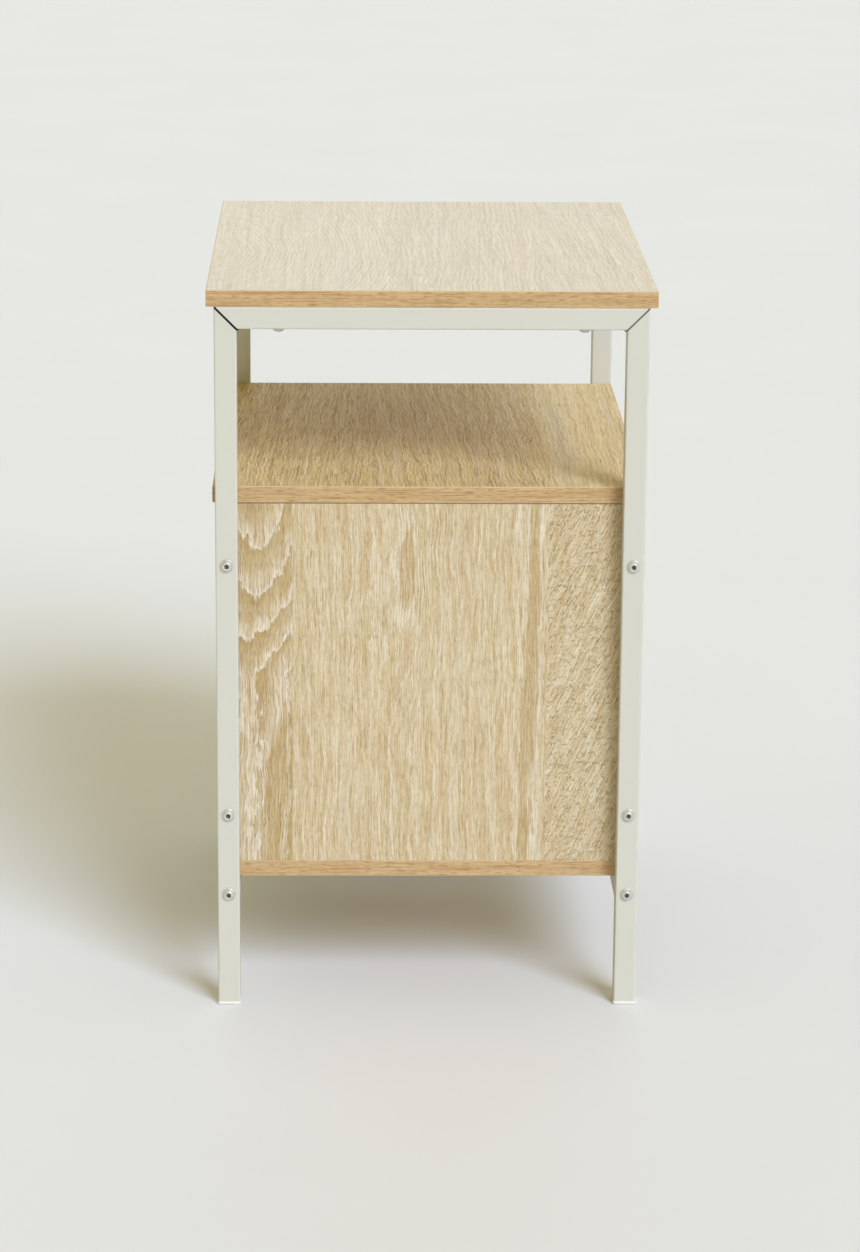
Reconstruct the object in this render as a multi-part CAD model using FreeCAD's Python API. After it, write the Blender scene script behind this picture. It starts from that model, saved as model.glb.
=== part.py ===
import FreeCAD, Part
import math
import os

# Storage side table with a door: two welded steel side frames, a tabletop,
# an open bay and a cabinet below it.  Millimetres, +Z up, the front (door)
# faces -Y, the origin is on the floor under the middle of the tabletop.

V = FreeCAD.Vector
X_AXIS, Y_AXIS, Z_AXIS = V(1, 0, 0), V(0, 1, 0), V(0, 0, 1)
MITRE_REACH = 3  # how far past the corner a mitre's cutter goes, in tube sizes
ALIGNED = 0.5  # a direction whose part along an axis is larger runs along that axis
HALF_TURNS = ((0, 180), (180, 360))  # degrees
SIDES = {"right": 1, "left": -1}
ENDS = {"front": -1, "rear": 1}
BOARD_SIDES = {"left": (0, 0), "right": (0, 1),  # the axis, and 0 for its low end or 1 for its high end
               "front": (1, 0), "rear": (1, 1),
               "under": (2, 0), "over": (2, 1)}
os.makedirs("parts", exist_ok=True)

# ---- driving dimensions ---------------------------------------------------

table_width = 500.0
table_depth = 400.0
table_height = 670.0
tabletop_thickness = 15.0
board_thickness = 15.0
band_thickness = 1.0
band_rounding = 0.8

tube_size = 20.0
tube_wall = 1.2
tube_rounding = 1.6
frame_setback = 7.0
mitre_slit = 0.8
weld_size = 3.0
weld_width = 14.0
weld_crown = 0.6

foot_flange = 3.0
foot_flange_overhang = 0.7
foot_plug_height = 14.0
foot_plug_clearance = 0.3
foot_rib_height = 1.5
foot_rib_pitch = 4.0
foot_rib_count = 3
foot_rib_depth = 0.8

shelf_top = 488.0
shelf_nose = 3.0
bottom_board_underside = 119.0
lower_rail_gap = 1.5

back_panel_thickness = 3.0
back_groove_depth = 5.0
back_groove_clearance = 0.2
back_panel_inset = 25.0

door_side_gap = 3.0
door_end_gap = 2.0
door_setback = 0.0
pivot_pin_diameter = 5.0
pivot_pin_in_door = 14.0
pivot_pin_in_bush = 8.0
pivot_from_door_edge = 10.0
pivot_clearance = 0.05
bush_wall = 1.75
bush_depth = 10.0
bush_flange_overhang = 0.9
bush_flange_thickness = 0.8
seat_clearance = 0.05

bolt_diameter = 6.0
bolt_hole_clearance = 0.3
bolt_head_diameter = 12.6
bolt_head_height = 3.4
bolt_flange_height = 0.9
bolt_dome_diameter = 10.8
bolt_crown_diameter = 6.0
bolt_dome_bulge = 0.3
hex_key_size = 4.0
hex_key_depth = 2.2
thread_clearance = 0.05
insert_diameter = 9.0
insert_length = 10.0
insert_collar_diameter = 10.5
insert_collar_height = 1.0
insert_floor = 0.5
end_nut_length = 10.0
end_nut_clearance = 0.2

upper_bolt_below_shelf = 54.0
lower_bolt_above_bottom_board = 50.0
tabletop_bolt_from_centre = 136.0

cam_diameter = 15.0
cam_depth = 12.0
cam_rim = 2.0
cam_cross_width = 2.0
cam_cross_length = 8.0
cam_cross_depth = 2.0
cam_from_board_edge = 24.0
cam_bolt_diameter = 6.0
cam_bolt_screw_depth = 10.0
cam_bolt_head_diameter = 7.5
cam_bolt_neck_diameter = 4.0
cam_bolt_neck_clearance = 0.5
cam_bolt_head_length = 2.0
cam_from_centre = 130.0
dowel_diameter = 8.0
dowel_length = 30.0
dowel_in_board = 9.0
dowel_from_centre = 80.0
dowel_chamfer = 1.0

latch_width = 16.0
latch_height = 13.0
latch_length = 46.0
latch_from_door_edge = 34.0
latch_wall = 2.5
latch_rounding = 1.5
latch_ear_length = 7.0
latch_ear_thickness = 2.5
plunger_diameter = 7.0
plunger_clearance = 0.08
plunger_tail_diameter = 9.0
plunger_tail_length = 3.0
plunger_stands_out = 5.0
magnet_diameter = 5.0
magnet_thickness = 1.5
spring_wire = 0.6
spring_diameter = 6.4
spring_turns = 8.0
spring_clearance = 0.3
strike_gap = 0.3
strike_width = 14.0
strike_height = 26.0
strike_thickness = 1.5
strike_rounding = 2.0
strike_below_door_top = 1.0
strike_screw_from_end = 6.0
screw_diameter = 3.0
screw_head_diameter = 6.0
screw_head_height = 1.8
screw_length = 12.0
screw_slot_width = 0.9
screw_slot_depth = 0.9

# ---- sizes that follow ----------------------------------------------------

frame_x = table_width / 2
frame_y = table_depth / 2 - frame_setback
inner_x = frame_x - tube_size
leg_centre_x = frame_x - tube_size / 2
leg_centre_y = frame_y - tube_size / 2
frame_top = table_height - tabletop_thickness
rail_underside = frame_top - tube_size
shelf_underside = shelf_top - board_thickness
shelf_front = -(frame_y + shelf_nose)
bottom_board_top = bottom_board_underside + board_thickness
panel_inner_x = inner_x - board_thickness
back_front_y = frame_y - back_panel_inset - back_panel_thickness / 2
back_rear_y = back_front_y + back_panel_thickness

door_x = panel_inner_x - door_side_gap
door_low = bottom_board_top + door_end_gap
door_high = shelf_underside - door_end_gap
door_front = -frame_y + door_setback
door_rear = door_front + board_thickness
pivot_x = -door_x + pivot_from_door_edge
pivot_y = (door_front + door_rear) / 2

bolt_clear_diameter = bolt_diameter + 2 * bolt_hole_clearance
bolt_thread_bore = bolt_diameter + 2 * thread_clearance
upper_bolt_z = shelf_underside - upper_bolt_below_shelf
lower_bolt_z = bottom_board_top + lower_bolt_above_bottom_board
lower_rail_z = bottom_board_underside - lower_rail_gap - tube_size / 2

bush_diameter = pivot_pin_diameter + 2 * (pivot_clearance + bush_wall)
cam_bolt_neck_length = cam_diameter / 2 - cam_bolt_head_length + cam_bolt_neck_clearance

latch_x = door_x - latch_from_door_edge
plunger_z = shelf_underside - latch_height / 2
strike_rear = door_rear + strike_thickness
plunger_tip = strike_rear + strike_gap
latch_front = plunger_tip + plunger_stands_out
latch_rear = latch_front + latch_length
latch_middle_y = (latch_front + latch_rear) / 2
plunger_shoulder = latch_front + latch_wall
plunger_end = plunger_shoulder + plunger_tail_length
latch_bore_end = latch_rear - latch_wall
latch_bore_diameter = plunger_tail_diameter + 2 * plunger_clearance


# ---- shapes in common -----------------------------------------------------

def block(low, high):
    """A box from its low corner to its high corner."""
    size = V(*high) - V(*low)
    return Part.makeBox(size.x, size.y, size.z, V(*low))


def rod(diameter, start, direction, length):
    """A round bar from a start point along a direction."""
    return Part.makeCylinder(diameter / 2, length, V(*start), direction)


def rounded_bar(size, rounding, start, direction, length):
    """A square bar with rounded long edges, centred on its axis."""
    bar = Part.makeBox(size, size, length, V(-size / 2, -size / 2, 0))
    long_edges = [edge for edge in bar.Edges if abs(edge.tangentAt(0).z) > ALIGNED]
    bar = bar.makeFillet(rounding, long_edges)
    bar.rotate(V(0, 0, 0), *turn_from_z(direction))
    bar.translate(V(*start))
    return bar


def turn_from_z(direction):
    """The axis and angle that turn +Z onto a direction along X, Y or Z."""
    if abs(direction.z) > ALIGNED:
        return X_AXIS, 0 if direction.z > 0 else 180
    return Z_AXIS.cross(direction), 90


def tube(start, direction, length):
    """A length of the square frame tube, open at both ends."""
    outside = rounded_bar(tube_size, tube_rounding, start, direction, length)
    inside_size = tube_size - 2 * tube_wall
    inside_rounding = tube_rounding - tube_wall
    inside = rounded_bar(inside_size, inside_rounding, start, direction, length)
    return outside.cut(inside)


def fused(shapes):
    """One solid from shapes that meet, with the seams between them removed."""
    whole = shapes[0]
    if len(shapes) > 1:
        whole = whole.fuse(shapes[1:])
    return whole.removeSplitter()


def save(name, shapes):
    """Write a sub-part: one solid, or a group of separate solids."""
    solids = [solid for shape in shapes for solid in shape.Solids]
    whole = solids[0] if len(solids) == 1 else Part.makeCompound(solids)
    whole.exportStep("parts/" + name + ".step")


def bolt(head_seat, inward, grip):
    """A flanged button-head bolt, its head's underside on head_seat."""
    outward = inward * -1
    head = button_head()
    head.rotate(V(0, 0, 0), *turn_from_z(outward))
    head.translate(V(*head_seat))
    shank = rod(bolt_diameter, head_seat, inward, grip)
    top = V(*head_seat) + outward * bolt_head_height
    return fused([head, shank]).cut(hex_socket(top, inward))


def button_head():
    """A head with a sloped flange and a domed crown, turned round +Z."""
    flange_radius = bolt_head_diameter / 2
    dome_radius = bolt_dome_diameter / 2
    crown_radius = bolt_crown_diameter / 2
    seat_rim = V(flange_radius, 0, 0)
    rim = V(flange_radius, 0, bolt_flange_height / 2)
    dome_foot = V(dome_radius, 0, bolt_flange_height)
    crown = V(crown_radius, 0, bolt_head_height)
    dome_middle = (dome_foot + crown) / 2 + V(bolt_dome_bulge, 0, bolt_dome_bulge)
    centre_low, centre_high = V(0, 0, 0), V(0, 0, bolt_head_height)
    edges = [Part.makeLine(centre_low, seat_rim)]
    edges.append(Part.makeLine(seat_rim, rim))
    edges.append(Part.makeLine(rim, dome_foot))
    edges.append(Part.Arc(dome_foot, dome_middle, crown).toShape())
    edges.append(Part.makeLine(crown, centre_high))
    edges.append(Part.makeLine(centre_high, centre_low))
    return Part.Face(Part.Wire(edges)).revolve(V(0, 0, 0), Z_AXIS, 360)


def hex_socket(top, inward):
    """The hexagonal key hole of a bolt head."""
    radius = hex_key_size / math.sqrt(3)
    turns = [math.radians(60 * corner) for corner in range(7)]
    corners = [V(radius * math.cos(turn), radius * math.sin(turn), 0) for turn in turns]
    face = Part.Face(Part.makePolygon(corners))
    prism = face.extrude(Z_AXIS * hex_key_depth)
    prism.rotate(V(0, 0, 0), *turn_from_z(inward))
    prism.translate(top)
    return prism


def insert_hole(mouth, inward):
    """The stepped hole that an insert nut sits in."""
    body = rod(insert_diameter + 2 * seat_clearance, mouth, inward, insert_length + insert_floor)
    collar_diameter = insert_collar_diameter + 2 * seat_clearance
    return body.fuse(rod(collar_diameter, mouth, inward, insert_collar_height))


def insert_nut(mouth, inward):
    """A threaded insert nut with a collar flush with the board's face."""
    body = rod(insert_diameter, mouth, inward, insert_length)
    collar = rod(insert_collar_diameter, mouth, inward, insert_collar_height)
    bore = rod(bolt_thread_bore, mouth, inward, insert_length)
    return fused([body, collar]).cut(bore)


def wood_screw(head_top, inward, length):
    """A slotted pan-head screw, given by the top of its head."""
    head = rod(screw_head_diameter, head_top, inward, screw_head_height)
    shank_start = V(*head_top) + inward * screw_head_height
    shank = rod(screw_diameter, shank_start, inward, length)
    reach = screw_head_diameter
    slot = Part.makeBox(reach, screw_slot_width, screw_slot_depth,
                        V(-reach / 2, -screw_slot_width / 2, 0))
    slot.rotate(V(0, 0, 0), *turn_from_z(inward))
    slot.translate(V(*head_top))
    return fused([head, shank]).cut(slot)


def board(low, high, banded):
    """A board cut back where edge bands cover its edges; banded names the sides."""
    inner_low, inner_high = list(low), list(high)
    for name in banded:
        axis, end = BOARD_SIDES[name]
        if end:
            inner_high[axis] -= band_thickness
        else:
            inner_low[axis] += band_thickness
    return block(inner_low, inner_high)


def edge_bands(low, high, banded, flat_axis):
    """Bands round a board: the first two sides run full length, the others fit between."""
    outline = rounded_outline(low, high, banded, flat_axis)
    bands = []
    full_axis = BOARD_SIDES[banded[0]][0]
    for name in banded:
        axis, end = BOARD_SIDES[name]
        start, stop = list(low), list(high)
        if end:
            start[axis] = high[axis] - band_thickness
        else:
            stop[axis] = low[axis] + band_thickness
        if axis != full_axis:
            start[full_axis] += band_thickness
            stop[full_axis] -= band_thickness
        bands.append(block(start, stop).common(outline))
    return bands


def rounded_outline(low, high, banded, flat_axis):
    """A board with its bands as one block, the long edges of its banded sides rounded."""
    outline = block(low, high)
    long_edges = []
    for name in banded:
        axis, end = BOARD_SIDES[name]
        outer = (high if end else low)[axis]
        long_axis = 3 - axis - flat_axis
        for edge in outline.Edges:
            along = abs(edge.tangentAt(0)[long_axis]) > ALIGNED
            if along and abs(edge.CenterOfMass[axis] - outer) < band_thickness / 2:
                long_edges.append(edge)
    return outline.makeFillet(band_rounding, long_edges)


# ---- where the fasteners sit ----------------------------------------------

def side_bolt_points(side):
    """Head seats of the bolts that hold one side panel."""
    heights = (upper_bolt_z, lower_bolt_z)
    return [V(side * frame_x, end * leg_centre_y, z) for end in ENDS.values() for z in heights]


def lower_rail_bolt_points(side):
    """Head seats of the bolts that hold the lower rails."""
    return [V(side * frame_x, end * leg_centre_y, lower_rail_z) for end in ENDS.values()]


def tabletop_bolt_points(side):
    """Head seats of the bolts that come up through a top rail."""
    places = (-tabletop_bolt_from_centre, tabletop_bolt_from_centre)
    return [V(side * leg_centre_x, y, rail_underside) for y in places]


def panel_joints(side):
    """Places in a side panel's ends, with the way out of the panel."""
    x = side * (inner_x + panel_inner_x) / 2
    return [(V(x, 0, shelf_underside), Z_AXIS), (V(x, 0, bottom_board_top), Z_AXIS * -1)]


# ---- steel frames ---------------------------------------------------------

def leg(side, end):
    """One upright of a side frame, mitred at its top and drilled for its bolts."""
    height = frame_top - foot_flange
    shape = tube((side * leg_centre_x, end * leg_centre_y, foot_flange), Z_AXIS, height)
    shape = shape.cut(mitre_cutter(side, end, mitre_slit / 2, True))
    for seat in side_bolt_points(side) + lower_rail_bolt_points(side):
        if seat.y * end > 0:
            inward = X_AXIS * -side
            shape = shape.cut(rod(bolt_clear_diameter, seat, inward, tube_size))
    return shape


def mitre_cutter(side, end, setback, above):
    """The wedge beyond the 45 degree mitre plane at a frame's top corner."""
    reach = MITRE_REACH * tube_size
    corner_y, corner_z = end * frame_y, frame_top
    shift = setback * math.sqrt(2) * (-1 if above else 1)
    outer = V(0, corner_y + end * reach, corner_z + shift + reach)
    inner = V(0, corner_y - end * reach, corner_z + shift - reach)
    far = V(0, inner.y, outer.z) if above else V(0, outer.y, inner.z)
    face = Part.Face(Part.makePolygon([outer, inner, far, outer]))
    wedge = face.extrude(X_AXIS * reach)
    wedge.translate(X_AXIS * (side * leg_centre_x - reach / 2))
    return wedge


def top_rail(side):
    """The tube under one end of the tabletop, mitred at both ends."""
    shape = tube((side * leg_centre_x, -frame_y, frame_top - tube_size / 2), Y_AXIS, 2 * frame_y)
    for end in ENDS.values():
        shape = shape.cut(mitre_cutter(side, end, mitre_slit / 2, False))
    for seat in tabletop_bolt_points(side):
        shape = shape.cut(rod(bolt_clear_diameter, seat, Z_AXIS, tube_size))
    return shape


def weld_bead(side, end):
    """A fillet weld in the inner corner between a leg and its top rail."""
    corner = V(side * leg_centre_x - weld_width / 2, end * (frame_y - tube_size), rail_underside)
    inner = corner + V(0, -end * weld_size, 0)
    lower = corner + V(0, 0, -weld_size)
    crown = corner + V(0, -end, -1) * (weld_size * weld_crown)
    edges = [Part.makeLine(corner, inner)]
    edges.append(Part.Arc(inner, crown, lower).toShape())
    edges.append(Part.makeLine(lower, corner))
    return Part.Face(Part.Wire(edges)).extrude(X_AXIS * weld_width)


def lower_rail(end):
    """The tube under the front or rear edge of the bottom board."""
    return tube((-inner_x, end * leg_centre_y, lower_rail_z), X_AXIS, 2 * inner_x)


def end_nut(seat, inward):
    """A threaded plug in the end of a lower rail."""
    size = tube_size - 2 * tube_wall - 2 * end_nut_clearance
    rounding = tube_rounding - tube_wall
    start = seat + inward * tube_size
    plug = rounded_bar(size, rounding, start, inward, end_nut_length)
    return plug.cut(rod(bolt_thread_bore, start, inward, end_nut_length))


def foot_cap(side, end):
    """A moulded cap: a flange that stands a little past the tube and a ribbed plug inside it."""
    centre = V(side * leg_centre_x, end * leg_centre_y, 0)
    inside = tube_size - 2 * tube_wall
    plug_size = inside - 2 * foot_rib_depth - 2 * foot_plug_clearance
    rib_size = inside - 2 * foot_plug_clearance
    rib_rounding = tube_rounding - tube_wall
    flange_size = tube_size + 2 * foot_flange_overhang
    flange_rounding = tube_rounding + foot_flange_overhang
    shapes = [rounded_bar(flange_size, flange_rounding, centre, Z_AXIS, foot_flange)]
    plug_length = foot_flange + foot_plug_height
    shapes.append(rounded_bar(plug_size, rib_rounding, centre, Z_AXIS, plug_length))
    for count in range(foot_rib_count):
        low = centre + Z_AXIS * (foot_flange + foot_rib_height + count * foot_rib_pitch)
        shapes.append(rounded_bar(rib_size, rib_rounding, low, Z_AXIS, foot_rib_height))
    return fused(shapes)


# ---- boards ---------------------------------------------------------------

tabletop_low = (-table_width / 2, -table_depth / 2, frame_top)
tabletop_high = (table_width / 2, table_depth / 2, table_height)
shelf_low = (-inner_x, shelf_front, shelf_underside)
shelf_high = (inner_x, frame_y, shelf_top)
bottom_low = (-inner_x, -frame_y, bottom_board_underside)
bottom_high = (inner_x, frame_y, bottom_board_top)
door_low_corner = (-door_x, door_front, door_low)
door_high_corner = (door_x, door_rear, door_high)
all_round = ("front", "rear", "left", "right")
door_round = ("left", "right", "under", "over")


def panel_corners(side):
    """Low and high corners of a side panel."""
    near, far = sorted((side * inner_x, side * panel_inner_x))
    return (near, -frame_y, bottom_board_top), (far, frame_y, shelf_underside)


def tabletop():
    """The tabletop board with the holes for its insert nuts."""
    shape = board(tabletop_low, tabletop_high, all_round)
    for side in SIDES.values():
        for seat in tabletop_bolt_points(side):
            shape = shape.cut(insert_hole(seat + Z_AXIS * tube_size, Z_AXIS))
    return shape


def back_groove_box(grow):
    """The space of the back panel, grown by a clearance on its faces and edges."""
    deep = back_groove_depth - back_groove_clearance + grow
    low = (-panel_inner_x - deep, back_front_y - grow, bottom_board_top - deep)
    high = (panel_inner_x + deep, back_rear_y + grow, shelf_underside + deep)
    return block(low, high)


def flat_board(low, high):
    """The shelf or the bottom board: grooved, and drilled for cams, dowels and pivot."""
    shape = board(low, high, all_round).cut(back_groove_box(back_groove_clearance))
    for side in SIDES.values():
        for place, outward in panel_joints(side):
            for y in (-cam_from_centre, cam_from_centre):
                shape = shape.cut(cam_bolt_hole(place + Y_AXIS * y, outward))
            for y in (-dowel_from_centre, dowel_from_centre):
                shape = shape.cut(dowel_hole(place + Y_AXIS * y, outward))
    for upward in (1, -1):
        shape = shape.cut(bush_space(upward))
    return shape


def shelf():
    """The shelf over the cabinet, also drilled for the latch's screws."""
    shape = flat_board(shelf_low, shelf_high)
    screw_bore = screw_diameter + 2 * seat_clearance
    for place in latch_screw_places():
        shape = shape.cut(rod(screw_bore, place, Z_AXIS, screw_head_height + screw_length))
    return shape


def side_panel(side):
    """A side of the cabinet, drilled for inserts, cams and dowels."""
    low, high = panel_corners(side)
    shape = board(low, high, ("front", "rear")).cut(back_groove_box(back_groove_clearance))
    for seat in side_bolt_points(side):
        shape = shape.cut(insert_hole(seat - X_AXIS * side * tube_size, X_AXIS * -side))
    for place, outward in panel_joints(side):
        for y in (-cam_from_centre, cam_from_centre):
            point = place + Y_AXIS * y
            shape = shape.cut(cam_bolt_hole(point, outward))
            shape = shape.cut(cam_space(point, outward, side, seat_clearance))
        for y in (-dowel_from_centre, dowel_from_centre):
            shape = shape.cut(dowel_hole(place + Y_AXIS * y, outward))
    return shape


def back_panel():
    """The thin back, held in grooves on all four sides."""
    return back_groove_box(0)


# ---- cam fittings and dowels ----------------------------------------------

def cam_bolt_hole(place, outward):
    """The hole for a cam bolt, from the cam into the board it draws in."""
    inner_end = place - outward * cam_from_board_edge
    bore = cam_bolt_head_diameter + 2 * seat_clearance
    drilled = rod(bore, inner_end, outward, cam_from_board_edge)
    screw_bore = cam_bolt_diameter + 2 * seat_clearance
    return drilled.fuse(rod(screw_bore, place, outward, cam_bolt_screw_depth))


def cam_bolt(place, outward):
    """A cam bolt: a screw end, a shank, a thin neck and a head inside the cam."""
    head_end = place - outward * (cam_from_board_edge - cam_bolt_head_length)
    neck_end = head_end + outward * cam_bolt_neck_length
    shank_length = cam_from_board_edge - cam_bolt_head_length - cam_bolt_neck_length + cam_bolt_screw_depth
    head_start = head_end - outward * cam_bolt_head_length
    head = rod(cam_bolt_head_diameter, head_start, outward, cam_bolt_head_length)
    neck = rod(cam_bolt_neck_diameter, head_end, outward, cam_bolt_neck_length)
    shank = rod(cam_bolt_diameter, neck_end, outward, shank_length)
    return fused([head, neck, shank])


def cam_space(place, outward, side, grow):
    """The round pocket of a cam in a side panel's inner face."""
    centre = place - outward * cam_from_board_edge
    mouth = V(side * panel_inner_x, centre.y, centre.z)
    return rod(cam_diameter + 2 * grow, mouth, X_AXIS * side, cam_depth)


def cam(place, outward, side):
    """A cam disc: a drum with a cavity for the bolt's head, a slot for its neck and a cross slot."""
    centre = place - outward * cam_from_board_edge
    head_size = cam_bolt_head_diameter + 2 * seat_clearance
    neck_size = cam_bolt_neck_diameter + 2 * seat_clearance
    cavity_width = cam_diameter - 2 * cam_rim
    cavity_end = centre + outward * (cam_bolt_head_length + seat_clearance)
    shape = cam_space(place, outward, side, 0)
    shape = shape.cut(centred_block(centre, cavity_end, head_size, cavity_width))
    shape = shape.cut(centred_block(centre, centre + outward * cam_diameter, neck_size, neck_size))
    mouth = V(side * panel_inner_x, centre.y, centre.z)
    for long_y, long_z in ((cam_cross_length, cam_cross_width), (cam_cross_width, cam_cross_length)):
        low = mouth - V(cam_cross_depth, long_y / 2, long_z / 2)
        shape = shape.cut(Part.makeBox(2 * cam_cross_depth, long_y, long_z, low))
    return shape


def centred_block(start, end, size_x, size_y):
    """A box along Z between two points, centred on their line."""
    low = V(start.x - size_x / 2, start.y - size_y / 2, min(start.z, end.z))
    return Part.makeBox(size_x, size_y, abs(end.z - start.z), low)


def dowel_hole(place, outward):
    """The hole for a dowel across the joint of two boards."""
    start = place - outward * (dowel_length - dowel_in_board + seat_clearance)
    return rod(dowel_diameter + 2 * seat_clearance, start, outward, dowel_length + 2 * seat_clearance)


def dowel(place, outward):
    """A chamfered beech dowel across the joint of two boards."""
    start = place - outward * (dowel_length - dowel_in_board)
    pin = rod(dowel_diameter, start, outward, dowel_length)
    rims = [edge for edge in pin.Edges if edge.Curve.TypeId == "Part::GeomCircle"]
    return pin.makeChamfer(dowel_chamfer, rims)


# ---- door -----------------------------------------------------------------

def door_panel():
    """The door's board, drilled for its pivot pins and its strike screw."""
    shape = board(door_low_corner, door_high_corner, door_round)
    pin_bore = pivot_pin_diameter + 2 * seat_clearance
    for start, direction in pivot_pin_places():
        shape = shape.cut(rod(pin_bore, start, direction, pivot_pin_in_door))
    screw_bore = screw_diameter + 2 * seat_clearance
    for place in strike_screw_places():
        inside = place + Y_AXIS * -1 * (screw_head_height + strike_thickness)
        shape = shape.cut(rod(screw_bore, inside, Y_AXIS * -1, screw_length))
    return shape


def pivot_pin_places():
    """Door edge points of the two pivot pins, with the way into the door."""
    upper = V(pivot_x, pivot_y, door_high)
    lower = V(pivot_x, pivot_y, door_low)
    return [(upper, Z_AXIS * -1), (lower, Z_AXIS)]


def pivot_pin(edge_point, into_door):
    """A steel pin, part in the door and part in its bush."""
    start = edge_point - into_door * (door_end_gap + pivot_pin_in_bush)
    length = pivot_pin_in_door + door_end_gap + pivot_pin_in_bush
    return rod(pivot_pin_diameter, start, into_door, length)


def door_bands():
    """The door's edge bands, bored where the pivot pins pass."""
    bands = edge_bands(door_low_corner, door_high_corner, door_round, 1)
    pin_bore = pivot_pin_diameter + 2 * seat_clearance
    for start, direction in pivot_pin_places():
        passage = rod(pin_bore, start, direction, pivot_pin_in_door)
        bands = [band.cut(passage) for band in bands]
    return bands


def bush_parts(upward, grow):
    """A bush's outside: a barrel in the board and a thin flange let into its face."""
    face_z = shelf_underside if upward > 0 else bottom_board_top
    mouth = V(pivot_x, pivot_y, face_z)
    barrel = rod(bush_diameter + 2 * grow, mouth, Z_AXIS * upward, bush_depth + grow)
    flange_diameter = bush_diameter + 2 * (bush_flange_overhang + grow)
    flange = rod(flange_diameter, mouth, Z_AXIS * upward, bush_flange_thickness)
    return fused([barrel, flange])


def bush_space(upward):
    """The counterbored hole of a bush."""
    return bush_parts(upward, seat_clearance)


def bush(upward):
    """A nylon pivot bush, flush with the board's face."""
    face_z = shelf_underside if upward > 0 else bottom_board_top
    mouth = V(pivot_x, pivot_y, face_z)
    bore_diameter = pivot_pin_diameter + 2 * pivot_clearance
    bore = rod(bore_diameter, mouth, Z_AXIS * upward, pivot_pin_in_bush + pivot_clearance)
    return bush_parts(upward, 0).cut(bore)


# ---- push latch -----------------------------------------------------------

def latch_body():
    """The latch housing: a rounded case with two screw ears and the plunger's bore."""
    low = (latch_x - latch_width / 2, latch_front, shelf_underside - latch_height)
    high = (latch_x + latch_width / 2, latch_rear, shelf_underside)
    case = block(low, high)
    lower_edges = [edge for edge in case.Edges if edge.CenterOfMass.z < plunger_z]
    case = case.makeFillet(latch_rounding, lower_edges)
    shape = fused([case] + latch_ears())
    mouth_bore = plunger_diameter + 2 * plunger_clearance
    shape = shape.cut(rod(mouth_bore, (latch_x, latch_front, plunger_z), Y_AXIS, latch_wall))
    bore_length = latch_bore_end - plunger_shoulder
    shape = shape.cut(rod(latch_bore_diameter, (latch_x, plunger_shoulder, plunger_z), Y_AXIS, bore_length))
    screw_bore = screw_diameter + 2 * seat_clearance
    for place in latch_screw_places():
        shape = shape.cut(rod(screw_bore, place, Z_AXIS, screw_head_height + latch_ear_thickness))
    return shape


def latch_ears():
    """The two screw ears of the latch housing, rooted in its side walls."""
    ears = []
    for direction in (-1, 1):
        wall_x = latch_x + direction * latch_width / 2
        near, far = sorted((wall_x - direction * latch_wall, wall_x + direction * latch_ear_length))
        low = (near, latch_middle_y - latch_ear_length / 2, shelf_underside - latch_ear_thickness)
        high = (far, latch_middle_y + latch_ear_length / 2, shelf_underside)
        ears.append(block(low, high))
    return ears


def latch_screw_places():
    """Tops of the latch screws' heads, below the ears."""
    reach = latch_width / 2 + latch_ear_length / 2
    z = shelf_underside - latch_ear_thickness - screw_head_height
    return [V(latch_x + direction * reach, latch_middle_y, z) for direction in (-1, 1)]


def plunger():
    """The sliding plunger: a round nose, a shoulder that stops it and a magnet seat."""
    nose_length = plunger_shoulder - plunger_tip
    nose = rod(plunger_diameter, (latch_x, plunger_tip, plunger_z), Y_AXIS, nose_length)
    tail = rod(plunger_tail_diameter, (latch_x, plunger_shoulder, plunger_z), Y_AXIS, plunger_tail_length)
    seat_bore = magnet_diameter + 2 * seat_clearance
    seat = rod(seat_bore, (latch_x, plunger_tip, plunger_z), Y_AXIS, magnet_thickness)
    return fused([nose, tail]).cut(seat)


def magnet():
    """The magnet in the plunger's nose."""
    return rod(magnet_diameter, (latch_x, plunger_tip, plunger_z), Y_AXIS, magnet_thickness)


def latch_spring():
    """The coil spring between the plunger and the end of the latch's bore.

    The wire's round section is two half circles, so that the long swept skin is two faces.
    """
    start = plunger_end + spring_clearance + spring_wire / 2
    length = latch_bore_end - spring_clearance - spring_wire / 2 - start
    path = Part.makeHelix(length / spring_turns, length, (spring_diameter - spring_wire) / 2)
    path.rotate(V(0, 0, 0), *turn_from_z(Y_AXIS))
    path.translate(V(latch_x, start, plunger_z))
    first = path.Edges[0]
    wire_end = first.valueAt(first.FirstParameter)
    wire_direction = first.tangentAt(first.FirstParameter)
    halves = [Part.makeCircle(spring_wire / 2, wire_end, wire_direction, *angles) for angles in HALF_TURNS]
    section = Part.Wire(halves)
    return Part.Wire(path.Edges).makePipeShell([section], True, True)


def strike_corners():
    """Low and high corners of the strike plate on the door's inner face."""
    top = door_high - strike_below_door_top
    low = (latch_x - strike_width / 2, door_rear, top - strike_height)
    high = (latch_x + strike_width / 2, strike_rear, top)
    return low, high


def strike_screw_places():
    """Top of the strike screw's head."""
    low, high = strike_corners()
    return [V(latch_x, strike_rear + screw_head_height, low[2] + strike_screw_from_end)]


def strike_plate():
    """The steel plate that the magnet holds."""
    low, high = strike_corners()
    plate = block(low, high)
    corners = [edge for edge in plate.Edges if abs(edge.tangentAt(0).y) > ALIGNED]
    plate = plate.makeFillet(strike_rounding, corners)
    screw_bore = screw_diameter + 2 * seat_clearance
    for place in strike_screw_places():
        plate = plate.cut(rod(screw_bore, place, Y_AXIS * -1, screw_head_height + strike_thickness))
    return plate


# ---- the assembly ---------------------------------------------------------

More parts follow.
